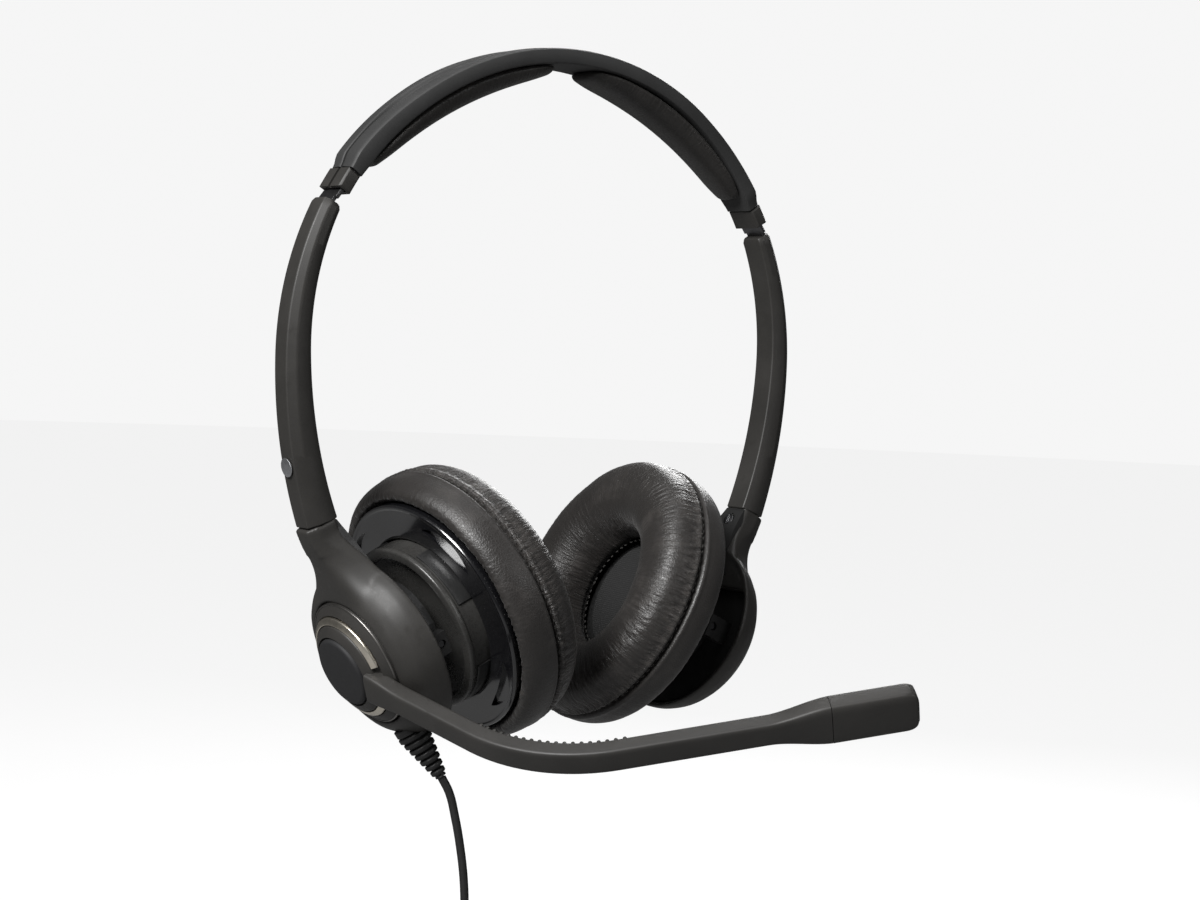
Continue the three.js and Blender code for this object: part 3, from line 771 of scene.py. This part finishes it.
def arm_point(x, y, t):
    thick = ARM_THIN + ARM_SWELL * t
    top = 1 - 0.14 * (1 - smooth(0, 0.014, t))
    return arm_place(x * thick * top + thick * (1 - top) / 2, y * top, t * ARM_LENGTH)


for side in SIDES:
    arm = settle(swept(ARM_SECTION, 64, arm_point), PACKED_FRAME, side)
    body = f"{side}_slider"
    name = f"{side}_arm_bar"
    finished(name, arm, body, charcoal, (f"{side}_arm",), edge=0.4)

refined("side_marker", marker_foil, 0.08)

# %% [markdown]
# ## Band pads
# The two pads are foam under leatherette: long crowned cushions, fullest in their middle, that
# taper to a point near the top of the band. The cage is swept, the cloth solver blows it up a
# little between its pinned edges, and subdivision makes it smooth.


# %% Inflating a skin
INFLATE_STEPS = 20


def inflate(piece, pinned, pressure, cap):
    """Blows up a closed skin with the cloth solver; no point moves more than cap millimetres."""
    rest = [vert.co.copy() for vert in piece.data.vertices]
    cloth = piece.modifiers.new("inflate", "CLOTH")
    cloth.settings.quality = 4
    cloth.settings.use_pressure = True
    cloth.settings.uniform_pressure_force = pressure
    cloth.settings.effector_weights.gravity = 0
    cloth.settings.vertex_group_mass = pinned
    for step in range(1, INFLATE_STEPS + 1):
        scene.frame_set(step)
    shape = piece.evaluated_get(bpy.context.evaluated_depsgraph_get())
    moved = [vert.co.copy() for vert in shape.data.vertices]
    piece.modifiers.remove(cloth)
    scene.frame_set(1)
    for vert, old, new in zip(piece.data.vertices, rest, moved):
        step = new - old
        if step.length > cap * MM:
            step *= cap * MM / step.length
        vert.co = old + step


def pin(piece, test):
    """A vertex group of the points, in millimetres, that pass the test."""
    group = piece.vertex_groups.new(name="pinned")
    group.add([vert.index for vert in piece.data.vertices if test(vert.co / MM)], 1, "REPLACE")
    return group.name


def subdivide(piece, levels):
    surface = piece.modifiers.new("surface", "SUBSURF")
    surface.levels = surface.render_levels = levels
    apply_modifiers(piece)


def write_skin_map(piece, place_of):
    """Writes the skin's map, in millimetres, and its crease attribute.

    place_of gives a point's place on the skin both ways, its crease, and how far each way runs
    before it comes round again, or 0 where it doesn't.
    """
    mesh = piece.data
    for old in list(mesh.uv_layers):
        mesh.uv_layers.remove(old)
    layer = mesh.uv_layers.new(name="skin")
    values = [place_of(vert.co / MM) for vert in mesh.vertices]
    for face in mesh.polygons:
        first = values[face.vertices[0]]
        for loop in face.loop_indices:
            u, v, _, turn_u, turn_v = values[mesh.loops[loop].vertex_index]
            u += turn_u * round((first[0] - u) / turn_u) if turn_u else 0
            v += turn_v * round((first[1] - v) / turn_v) if turn_v else 0
            layer.data[loop].uv = (u, v)
    crease = mesh.attributes.new("crease", "FLOAT", "POINT")
    crease.data.foreach_set("value", [value[2] for value in values])


# %% Band pads
PAD_LOW = 38
PAD_HIGH = 85.3
PAD_HALF = 7.7
PAD_TAPER = 2.4
PAD_THIN = 1.6
PAD_FULL = 3.85
PAD_SECTION = [
    (-1, 0.04), (-0.5, 0), (0, 0), (0.5, 0), (1, 0.04), (1.03, 0.3), (0.86, 0.72), (0.5, 0.97),
    (0, 1.04), (-0.5, 0.97), (-0.86, 0.72), (-1.03, 0.3),
]


def pad_point(x, y, t):
    """From the pad's tip near the top of the band down to its end by the collar."""
    elevation = PAD_HIGH + (PAD_LOW - PAD_HIGH) * t
    t = min(max(t, 0.012), 0.988)
    full = math.sqrt(math.sin(math.pi * t))
    half = (PAD_HALF - PAD_TAPER * t) * (0.6 + 0.4 * min(full * 1.8, 1))
    depth = y * (PAD_THIN + PAD_FULL * full)
    return band_place(BAND_INNER - 0.05 - depth, x * half, elevation)


def pad_skin_place(point):
    """How far along and across the pad, and how creased: most at its long edges."""
    distance = math.atan2(point.z + BAND_INNER, abs(point.x)) * BAND_INNER
    crease = 0.15 + 0.5 * smooth(3.5, 7, abs(point.y))
    return distance, point.y, crease, 0, 0


def on_backing(point):
    return Vector((point.x, 0, point.z + BAND_INNER)).length > BAND_INNER - 1.4


for side in SIDES:
    cage = settle(swept(PAD_SECTION, 26, pad_point), PACKED_FRAME, side)
    name = f"{side}_band_pad_foam"
    hidden = (f"{side}_band_pad",)
    pad = finished(name, cage, "headband", pad_skin, hidden, sharp=180)
    inflate(pad, pin(pad, on_backing), pressure=4, cap=0.6)
    subdivide(pad, 3)
    write_skin_map(pad, pad_skin_place)

# %% [markdown]
# ## Yokes
# A yoke's outer shell is one moulding: a stem that carries on the arm's shape and flares into a
# round dome. A hard line where stem meets dome would look glued on, so the two are merged into one
# skin by a fine voxel remesh and smoothed, which leaves the soft fillet that the moulding has.

# %% Yoke shells
OPENING = 17
DOME = 24.5
DOME_OUTSIDE = [(OPENING, 5.6), (18.2, 5.7), (20, 6.6), (22.4, 9.3), (23.9, 12.4), (DOME, 15.2)]
DOME_INSIDE = [(DOME, 16), (23.2, 16), (22.6, 13.2), (21, 10.2), (18.8, 9.2), (OPENING, 9.2)]
STEM_TOP = -37.6
STEM_FOOT_RADIUS = 17.6
STEM_FOOT_WIDTH = 14
STEM_HALF = 4.1
STEM_SPREAD = 11.3
FLARE_TOP = -35
FLARE_LENGTH = 17.5
STEM_SECTION = [
    (-1, 0.9), (-1, 0.34), (-0.83, 0.17), (-0.66, 0), (-0.5, 0), (-0.33, 0), (-0.16, 0), (0, 0),
    (0.16, 0), (0.33, 0), (0.5, 0), (0.66, 0), (0.83, 0.17), (1, 0.34), (1, 0.9), (0.9, 1), (-0.9, 1),
]
FILLET_TOP = -30
FILLET_FOOT = -9
FILLET_RADIUS = 18.6
FILLET_HALF = 17
FILLET_DEPTH = 11


def dome_depth(radius):
    """How deep the dome's outer surface lies at this radius."""
    for (r0, z0), (r1, z1) in zip(DOME_OUTSIDE, DOME_OUTSIDE[1:]):
        if radius <= r1:
            return z0 + (z1 - z0) * max(radius - r0, 0) / (r1 - r0)
    return DOME_OUTSIDE[-1][1]


def stem_point(x, depth, t):
    """Down the stem, whose chamfered section swells until it rounds over as the dome does."""
    foot = -math.sqrt(STEM_FOOT_RADIUS ** 2 - (x * STEM_FOOT_WIDTH) ** 2)
    y = STEM_TOP + (foot - STEM_TOP) * t
    flare = max((y - FLARE_TOP) / FLARE_LENGTH, 0)
    half = STEM_HALF + STEM_SPREAD * flare ** 1.75
    if y > -20:
        half = min(half, math.sqrt((DOME - 0.3) ** 2 - y ** 2))
    outer = 4.3 + 1.3 * smooth(-34, -19, y)
    inner = 12.9 + 2.9 * smooth(-33, -22, y)
    z = outer + depth * (inner - outer)
    if depth < 0.9:
        crown = dome_depth(OPENING + (DOME - OPENING) * abs(x) ** 2.2)
        z += (max(crown, z) - z) * smooth(FLARE_TOP, -21, y)
    return Vector((x * half, y, z))


def yoke_shell(side):
    stem = swept(STEM_SECTION, 40, stem_point)
    dome = turned(rounded(DOME_OUTSIDE + DOME_INSIDE, 0.8, 3), 128)
    return settle(merged(stem, dome), hub_frame, side)


def on_fillet(side, point):
    """Whether a point lies where the stem runs out over the dome, clear of its thin edges."""
    local = hub_frame.inverted() @ Vector((point.x * SIDES[side], point.y, point.z))
    along_stem = FILLET_TOP < local.y < FILLET_FOOT and abs(local.x) < FILLET_HALF
    return along_stem and local.xy.length > FILLET_RADIUS and local.z < FILLET_DEPTH


for side in SIDES:
    name = f"{side}_yoke_moulding"
    body = f"{side}_slider"
    hidden = (f"{side}_yoke_shell",)
    shell = yoke_shell(side)
    shell = finished(name, shell, body, charcoal, hidden, sharp=180)
    remesh = shell.modifiers.new("one_skin", "REMESH")
    remesh.mode = "VOXEL"
    remesh.voxel_size = 0.42 * MM
    remesh.use_smooth_shade = True
    relax = shell.modifiers.new("relax", "SMOOTH")
    relax.factor = 0.5
    relax.iterations = 10
    apply_modifiers(shell)
    fillet = shell.modifiers.new("fillet", "SMOOTH")
    fillet.vertex_group = pin(shell, partial(on_fillet, side))
    fillet.factor = 0.6
    fillet.iterations = 60
    apply_modifiers(shell)
    shell.data.shade_smooth()
    dressed(f"{side}_yoke_cover", inner_black)
    refined(f"{side}_yoke_screw", pin_steel, 0.12)
print("yokes done")

# %% [markdown]
# ## Hubs
# The hub is a shallow cone that fills the dome's opening. It has a rubber cap in the middle, a
# step, a narrow ring of polished metal, and a rim whose thin bright edge is a painted highlight: a
# separate ring of lighter metal laid on it. On the boom's side the ring is broken where the boom's
# root comes out.

# %% Hubs
HUB_PROFILE = [
    (0, 2), (8.9, 2), (9.5, 1.4), (9.6, 0.8), (11.9, 2.15), (12.05, 2.6), (12.05, 3.5), (13.8, 4.5),
    (13.95, 4.1), (14.15, 3.75), (16.1, 5.2), (16.65, 5.5), (16.7, 6.1), (16.6, 7.2), (0, 7.2),
]
RING_PROFILE = [(12.2, 3.6), (12.2, 2.5), (12.4, 2.35), (13.75, 3.2), (13.85, 3.5), (13.75, 4.3)]
CAP_PROFILE = [(0, 0.05), (6, 0.05), (8.5, 0.15), (9, 0.5), (9.2, 1.1), (9.2, 1.9), (0, 1.9)]
RIM_PROFILE = [(16.35, 5.2), (16.55, 5.25), (16.74, 5.45), (16.74, 5.65), (16.4, 5.6)]
RING_BREAK = 27

HUB_KINDS = {"left": ("boom", RING_BREAK, boom_frame), "right": ("right_slider", 0, hub_frame)}

for side, (body, gap, ring_frame) in HUB_KINDS.items():
    hub = settle(turned(rounded(HUB_PROFILE, 0.25, 2, closed=False), 128), hub_frame, side)
    finished(f"{side}_hub_cone", hub, body, charcoal, (f"{side}_hub",), sharp=40)
    ring = turned(rounded(RING_PROFILE, 0.2, 2), 128, 360 - 2 * gap, gap)
    ring = settle(ring, ring_frame, side)
    hidden = (f"{side}_accent_ring",)
    finished(f"{side}_accent_band", ring, body, accent_metal, hidden, sharp=50)
    # The rim line is a painted highlight: a thin ring of lighter metal standing for the light caught on
    # the rim's edge.
    rim = settle(turned(rounded(RIM_PROFILE, 0.1, 2), 128), hub_frame, side)
    finished(f"{side}_rim_line", rim, body, painted_highlight_edge, sharp=60)
    cap = settle(turned(rounded(CAP_PROFILE, 0.3, 3, closed=False), 96), hub_frame, side)
    hidden = (f"{side}_hub_cap",)
    finished(f"{side}_hub_button", cap, body, cap_rubber, hidden, sharp=40)
    dressed(f"{side}_hub_axle", pin_steel)

# %% [markdown]
# ## Ear cups
# Behind each cushion sits a drum that holds the speaker, and a polished plate with four almond
# slots. The drum has a bright turned lip at its back and shallow raised panels round its wall.

# %% Cups
DRUM_PROFILE = [
    (0, 5.4), (19.2, 5.4), (19.6, 3.4), (20, 3.05), (21.9, 3.1), (22.3, 3.5), (22.3, 4.6),
    (21.9, 4.9), (21.9, 11.4), (29.5, 11.5), (29.5, 12.7), (0, 12.7),
]
PANEL_PROFILE = [(21.6, 5.4), (22.35, 5.4), (22.35, 9.6), (21.6, 9.6)]
PLATE_PROFILE = [
    (22.5, 9.3), (23.2, 9.15), (30.2, 9.5), (30.6, 9.2), (31.2, 9.25), (31.5, 9.8), (31.5, 11.2),
    (22.5, 11.2),
]
CLOTH_PROFILE = [(0, 16.1), (6, 16), (12, 15.8), (15.2, 15.5), (15.2, 15), (0, 15)]
SLOT_STARTS = (20, 110, 200, 290)
SLOT_SPAN = 38
SLOT_RADIUS = 27.2
SLOT_HALF = 1.7
SLOT_STEPS = 24
PANEL_STARTS = (25, 115, 205, 295)
PANEL_SPAN = 44


def slot_cutters():
    """Four almonds that stand through the plate's outer face."""
    shapes = []
    for start in SLOT_STARTS:
        bm = bmesh.new()
        edge = []
        for edge_side in (1, -1):
            for k in range(SLOT_STEPS):
                step = k / SLOT_STEPS if edge_side == 1 else 1 - k / SLOT_STEPS
                angle = math.radians(start + SLOT_SPAN * step)
                swell = math.sin(math.pi * step)
                radius = SLOT_RADIUS + 0.8 * swell + edge_side * SLOT_HALF * swell ** 0.8
                edge.append(bm.verts.new((radius * math.cos(angle), radius * math.sin(angle), 8.5)))
        face = bm.faces.new(edge)
        top = bmesh.ops.extrude_face_region(bm, geom=[face])["geom"]
        raised = [item for item in top if isinstance(item, bmesh.types.BMVert)]
        bmesh.ops.translate(bm, vec=(0, 0, 2), verts=raised)
        shapes.append(close_up(bm))
    return merged(*shapes)


def drum_panels():
    """Raised panels on the drum's wall."""
    profile = rounded(PANEL_PROFILE, 0.25, 2)
    return merged(*[turned(profile, 16, PANEL_SPAN, start) for start in PANEL_STARTS])


for side in SIDES:
    body = f"{side}_cup"
    place = cup_frame(side)
    drum = settle(turned(rounded(DRUM_PROFILE, 0.25, 2, closed=False), 128), place, side)
    hidden = (f"{side}_cup_housing",)
    finished(f"{side}_drum", drum, body, drum_black, hidden, sharp=40)
    panels = settle(drum_panels(), place, side)
    finished(f"{side}_drum_panels", panels, body, inner_black, sharp=40)
    name = f"{side}_polished_plate"
    hidden = (f"{side}_backplate",)
    plate = settle(turned(rounded(PLATE_PROFILE, 0.15, 2), 180), place, side)
    plate = finished(name, plate, body, gloss_black, hidden, sharp=30)
    carve(plate, settle(slot_cutters(), place, side))
    name = f"{side}_speaker_weave"
    hidden = (f"{side}_speaker_cloth",)
    weave = settle(turned(CLOTH_PROFILE, 64), place, side)
    finished(name, weave, body, speaker_weave, hidden, sharp=40)
    dressed(f"{side}_baffle", inner_black)
    dressed(f"{side}_speaker_driver", driver_metal)
    dressed(f"{side}_gimbal_ring", inner_black)
    for pin_name in ("front_tilt_pin", "rear_tilt_pin", "lower_swivel_pin", "upper_swivel_pin"):
        dressed(f"{side}_{pin_name}", pin_steel)

# %% [markdown]
# ## Cushions
# An ear cushion is a ring of foam in a leatherette skin sewn from two panels. The back panel is
# pulled smooth over the cup's rim. The front panel is gathered where it is sewn to it, and again
# in the hole, so it creases in short lines that point away from each seam. The cage of the skin
# is spun, blown up between its pinned seams, subdivided, and only then sewn: the seam is pressed
# in, and the creases are cut by a formula that runs along the skin.

# %% Cushion cage
CUSHION_PROFILE = [
    (31.7, 13.2), (31.8, 11.2), (33, 10.1), (35, 11), (36.4, 13.8), (36.8, 17.2), (36.7, 20.2),
    (36.1, 22.8), (36, 25.5), (34.6, 28.2), (31.8, 30), (28.4, 30.7), (25.2, 30.7), (22.2, 29.9),
    (19.6, 28), (17.6, 25.4), (16.5, 22.4), (16, 19.4), (16.4, 17.1), (18.6, 15.7), (24.5, 15.5),
    (30, 15.4),
]
SECTION_MIDDLE = (26.6, 20.5)
SEAM = -3
HEM = -62
HOLE_SEAM = 196
SKIN_ROUND = 30
SKIN_OVER = 11


def skin_place(local):
    """Where a point is on the ring: round it, and round its section, in degrees."""
    around = math.atan2(local.y, local.x)
    radius = local.xy.length
    turn = math.degrees(math.atan2(local.z - SECTION_MIDDLE[1], radius - SECTION_MIDDLE[0]))
    return around, turn if turn > -80 else turn + 360


def bell(value, middle, width):
    return math.exp(-(((value - middle) / width) ** 2))


def gathered(turn):
    """How strongly the skin is gathered at this turn of the section."""
    fading = 1.6 - 1.05 * smooth(SEAM + 14, SEAM + 34, turn) - 0.3 * smooth(60, 95, turn)
    front = smooth(SEAM, SEAM + 4, turn) * fading * (1 - smooth(95, 130, turn))
    hole = smooth(105, 165, turn) * (1 - smooth(200, 215, turn))
    return 0.1 + 0.85 * max(front, hole) + 0.5 * bell(turn, HEM, 7)


def crease_height(around, turn, seed):
    """Narrow valleys that run across the seam, between small plump folds, in millimetres."""
    wander = noise.noise(Vector((around * 3, turn * 0.02, seed)))
    fine = noise.noise(Vector(((around + 0.05 * wander) * 24, turn * 0.02, seed + 7)))
    small = noise.noise(Vector(((around + 0.03 * wander) * 46, turn * 0.035, seed + 19)))
    zone = 0.45 + 0.75 * smooth(-0.2, 0.3, noise.noise(Vector((around * 1.4, turn * 0.012, seed + 31))))
    return -zone * (0.26 * max(1 - abs(fine) * 4, 0) + 0.18 * max(1 - abs(small) * 3.5, 0))


def sewn_down(to_local, point):
    turn = skin_place(to_local @ point)[1]
    return abs(turn - SEAM) < 5 or turn < -50 or turn > 190


def ring_map(to_local, point):
    around, turn = skin_place(to_local @ point)
    once_round = 2 * math.pi * SKIN_ROUND
    once_over = 2 * math.pi * SKIN_OVER
    return around * SKIN_ROUND, math.radians(turn) * SKIN_OVER, gathered(turn), once_round, once_over


def sew(piece, to_local, seed):
    """Presses the seams in and raises the creases on the finished skin."""
    mesh = piece.data
    normals = [vert.normal.copy() for vert in mesh.vertices]
    for vert, normal in zip(mesh.vertices, normals):
        around, turn = skin_place(to_local @ (vert.co / MM))
        lift = gathered(turn) * crease_height(around, turn, seed) * 0.75
        pucker = 1 + 0.35 * noise.noise(Vector((around * 24, 0, seed)))
        lift -= 2.1 * bell(turn, SEAM, 3) * pucker
        lift += 0.35 * bell(turn, SEAM + 8, 4.5) * pucker + 0.2 * bell(turn, SEAM - 7, 3.5) * pucker
        lift -= 0.5 * bell(turn, HOLE_SEAM, 4)
        lift += 0.4 * noise.noise(Vector((around * 34, turn * 0.2, seed + 11))) * bell(turn, HEM, 9)
        lift += 0.25 * noise.noise(Vector((around * 2.5, turn * 0.02, seed + 3)))
        vert.co += normal * lift * MM


for seed, side in enumerate(SIDES):
    place = cup_frame(side)
    cage = settle(turned(CUSHION_PROFILE, 88), place, side)
    name = f"{side}_ear_cushion"
    body = f"{side}_cup"
    hidden = (f"{side}_cushion",)
    cushion = finished(name, cage, body, cushion_skin, hidden, sharp=180)
    to_local = place.inverted() @ Matrix.Scale(SIDES[side], 4, (1, 0, 0))
    inflate(cushion, pin(cushion, partial(sewn_down, to_local)), pressure=4, cap=0.7)
    subdivide(cushion, 3)
    sew(cushion, to_local, seed * 40 + 5)
    write_skin_map(cushion, partial(ring_map, to_local))
    print(name, len(cushion.data.vertices), "points")


# %% [markdown]
# ## Stitches
# Two seams show a row of stitches: the one round the outside and the one in the hole. One stitch
# is a short thick thread, bedded in the skin, and no two are quite the same length. Most hide in
# the groove, where only a few catch the light.

# %% Stitches
def stitch_row(radius, height, count, length, lean, thick):
    """Short threads round a circle; lean turns each a little from the row's own direction."""
    shapes = []
    for k in range(count):
        uneven = noise.noise(Vector((k * 1.7, count, height)))
        bm = bmesh.new()
        bmesh.ops.create_uvsphere(bm, u_segments=6, v_segments=4, radius=thick)
        bmesh.ops.scale(bm, vec=(1, (length + 0.5 * uneven) / 2 / thick, 1), verts=bm.verts)
        turn = Matrix.Rotation(2 * math.pi * (k + 0.3 * uneven) / count, 4, "Z")
        move = Matrix.Translation((radius, 0, height))
        own = Matrix.Rotation(math.radians(lean), 4, "Z")
        bmesh.ops.transform(bm, matrix=turn @ move @ own, verts=bm.verts)
        shapes.append(bm)
    return merged(*shapes)


for side in SIDES:
    rows = merged(
        stitch_row(36.1, 20.3, count=104, length=1.4, lean=8, thick=0.15),
        stitch_row(16.05, 17.4, count=52, length=1.3, lean=10, thick=0.2),
    )
    rows = settle(rows, cup_frame(side), side)
    finished(f"{side}_stitches", rows, f"{side}_cup", thread, sharp=180)

# %% [markdown]
# ## Microphone boom
# The boom is a flat bar with softened edges. It starts as a wedge in the hub, bends once towards
# the mouth, and widens into the microphone's paddle. A row of small ribs on the inside of the bend
# lets it flex.

# %% Boom
BOOM_ROOT = 9.8
BOOM_DEPTH = 2.4
BOOM_SLOPE = math.radians(5.5)
BOOM_STRAIGHT = 34.5
BEND_RADIUS = 44
BEND = math.radians(48.5)
BOOM_TIP = 49.8
BOOM_LENGTH = BOOM_STRAIGHT + BEND_RADIUS * BEND + BOOM_TIP
BAR_HALF = 3.15
BAR_HALF_THICK = 2.35
ROOT_SWELL = 1.15
MIC_LENGTH = 20.5
MIC_HALF = 5.6
MIC_THICK = 5.6
BAR_SECTION = rounded([(-1, -1), (1, -1), (1, 1), (-1, 1)], 0.42, 5)


def boom_station(s):
    """The bar's middle and its heading, s millimetres from the root."""
    heading = BOOM_SLOPE + min(max((s - BOOM_STRAIGHT) / BEND_RADIUS, 0), BEND)
    first = min(s, BOOM_STRAIGHT)
    forwards, inwards = math.cos(BOOM_SLOPE), math.sin(BOOM_SLOPE)
    x = BOOM_ROOT + first * forwards + BEND_RADIUS * (math.sin(heading) - inwards)
    z = BOOM_DEPTH + first * inwards + BEND_RADIUS * (forwards - math.cos(heading))
    last = max(s - BOOM_STRAIGHT - BEND_RADIUS * BEND, 0)
    return Vector((x + last * math.cos(heading), 0, z + last * math.sin(heading))), heading


def boom_place(across, height, s):
    point, heading = boom_station(s)
    return point + Vector((-across * math.sin(heading), height, across * math.cos(heading)))


def boom_point(x, y, t):
    s = t * BOOM_LENGTH
    to_mic = smooth(BOOM_LENGTH - 15, BOOM_LENGTH + 1, s)
    root = 1 - smooth(0, 12, s)
    half = BAR_HALF + ROOT_SWELL * root + (MIC_HALF - BAR_HALF) * to_mic
    thick = BAR_HALF_THICK + (MIC_THICK / 2 - BAR_HALF_THICK) * to_mic
    return boom_place(x * thick, y * half, s)


def mic_point(x, y, t):
    s = BOOM_LENGTH + 0.15 + t * MIC_LENGTH
    end = max(1 - max((t - 0.83) / 0.17, 0) ** 2.6, 0) ** 0.5 * 0.42 + 0.58
    return boom_place(x * MIC_THICK / 2 * (0.6 + 0.4 * end), y * MIC_HALF * end, s)


bar = settle(swept(BAR_SECTION, 110, boom_point), boom_frame)
finished("boom_bar", bar, "boom", charcoal, ("boom_arm",), sharp=50)
paddle = settle(swept(BAR_SECTION, 48, mic_point), boom_frame)
finished("mic_paddle", paddle, "boom", charcoal, ("mic_housing",), sharp=50)


# %% Boom ribs
def is_rim(edge):
    """Whether an edge of a cylinder lies between its wall and an end."""
    wall, end = edge.link_faces
    return len(wall.verts) != len(end.verts)


def boom_ribs(count=19, pitch=2.1, start=36):
    shapes = []
    for k in range(count):
        s = start + k * pitch
        bm = bmesh.new()
        bmesh.ops.create_cone(bm, cap_ends=True, segments=16, radius1=0.5, radius2=0.5, depth=6.3)
        bmesh.ops.bevel(
            bm, geom=[edge for edge in bm.edges if is_rim(edge)], offset=0.25, segments=2,
            affect="EDGES", profile=0.5, material=-1,
        )
        upright = Matrix.Rotation(math.pi / 2, 4, "X")
        _, heading = boom_station(s)
        move = Matrix.Translation(boom_place(2.05, 0, s))
        bmesh.ops.transform(bm, matrix=move @ Matrix.Rotation(-heading, 4, "Y") @ upright, verts=bm.verts)
        shapes.append(bm)
    return merged(*shapes)


finished("boom_ribs", settle(boom_ribs(), boom_frame), "boom", charcoal, sharp=40)

# %% Microphone opening
mic_at, mic_heading = boom_station(BOOM_LENGTH + MIC_LENGTH * 0.5)
mic_frame = boom_frame @ Matrix.Translation(mic_at) @ Matrix.Rotation(-mic_heading, 4, "Y")
BEZEL_PROFILE = [(2.6, 2.2), (3.2, 2.2), (3.2, 3.05), (2.6, 3.05)]
bezel = settle(turned(rounded(BEZEL_PROFILE, 0.2, 2), 48), mic_frame)
finished("mic_bezel", bezel, "boom", inner_black, sharp=40)
mesh_dome = settle(turned([(0, 3), (1.4, 2.95), (2.7, 2.75), (2.7, 2.3), (0, 2.3)], 40), mic_frame)
hidden = ("mic_screen", "mic_capsule")
finished("mic_mesh_dome", mesh_dome, "boom", mic_weave, hidden, sharp=60)

# %% [markdown]
# ## Floor and light
# The headset hangs as on a stand's arm, above a plain pale floor. The camera sees a white studio,
# but a black object in a white room would look grey, so what lights it is dimmer than what is seen:
# the Light Path node tells the camera's rays from the others. The main light is a soft panel high
# on the left. It leaves the undersides of the boom and the domes dark, as a lamp above a desk does.

# %% Floor
floor_mesh = bpy.data.meshes.new("floor")
bm = bmesh.new()
bmesh.ops.create_circle(bm, cap_ends=True, segments=96, radius=6)
bmesh.ops.translate(bm, vec=(0, 0, -0.36), verts=bm.verts)
bm.to_mesh(floor_mesh)
bm.free()
floor = bpy.data.objects.new("floor", floor_mesh)
scene.collection.objects.link(floor)
paper = Finish("floor_paper", Roughness=0.9, Emission_Strength=1)
fibre = paper.speckle(paper.place(), 30, 3, 0.6)
seen = paper.node("ShaderNodeLightPath", output="Is Camera Ray")
paper_white = paper.blend(fibre, (0.16, 0.16, 0.16, 1), (0.18, 0.18, 0.18, 1))
glow = paper.blend(seen, (0.03, 0.03, 0.03, 1), (0.87, 0.87, 0.87, 1))
floor_mesh.materials.append(paper.set(Base_Color=paper_white, Emission_Color=glow))


# %% Lights
def panel(name, place, target, size, power):
    data = bpy.data.lights.new(name, "AREA")
    data.shape = "RECTANGLE"
    data.size, data.size_y = size
    data.energy = power
    light = bpy.data.objects.new(name, data)
    aim = Vector(target) - Vector(place)
    light.matrix_world = Matrix.Translation(place) @ aim.to_track_quat("-Z", "Y").to_matrix().to_4x4()
    scene.collection.objects.link(light)


MIDDLE = (0, 0, -0.09)
panel("key", (-0.82, -0.3, 0.52), MIDDLE, (0.4, 0.4), 18)
panel("front", (0.3, -0.95, 0.35), MIDDLE, (0.3, 0.5), 1.6)
panel("top", (0.1, 0.1, 0.8), MIDDLE, (0.6, 0.5), 2.4)
panel("rim", (0.65, 0.5, 0.3), MIDDLE, (0.3, 0.6), 5)
world = bpy.data.worlds.new("studio")
world.use_nodes = True
sky = world.node_tree.nodes["Background"]
rays = world.node_tree.nodes.new("ShaderNodeLightPath")
strength = world.node_tree.nodes.new("ShaderNodeMapRange")
strength.inputs["To Min"].default_value = 0.06
strength.inputs["To Max"].default_value = 0.92
world.node_tree.links.new(rays.outputs["Is Camera Ray"], strength.inputs["Value"])
world.node_tree.links.new(strength.outputs["Result"], sky.inputs["Strength"])
sky.inputs["Color"].default_value = (1, 1, 1, 1)
scene.world = world
scene.view_settings.view_transform = "Standard"
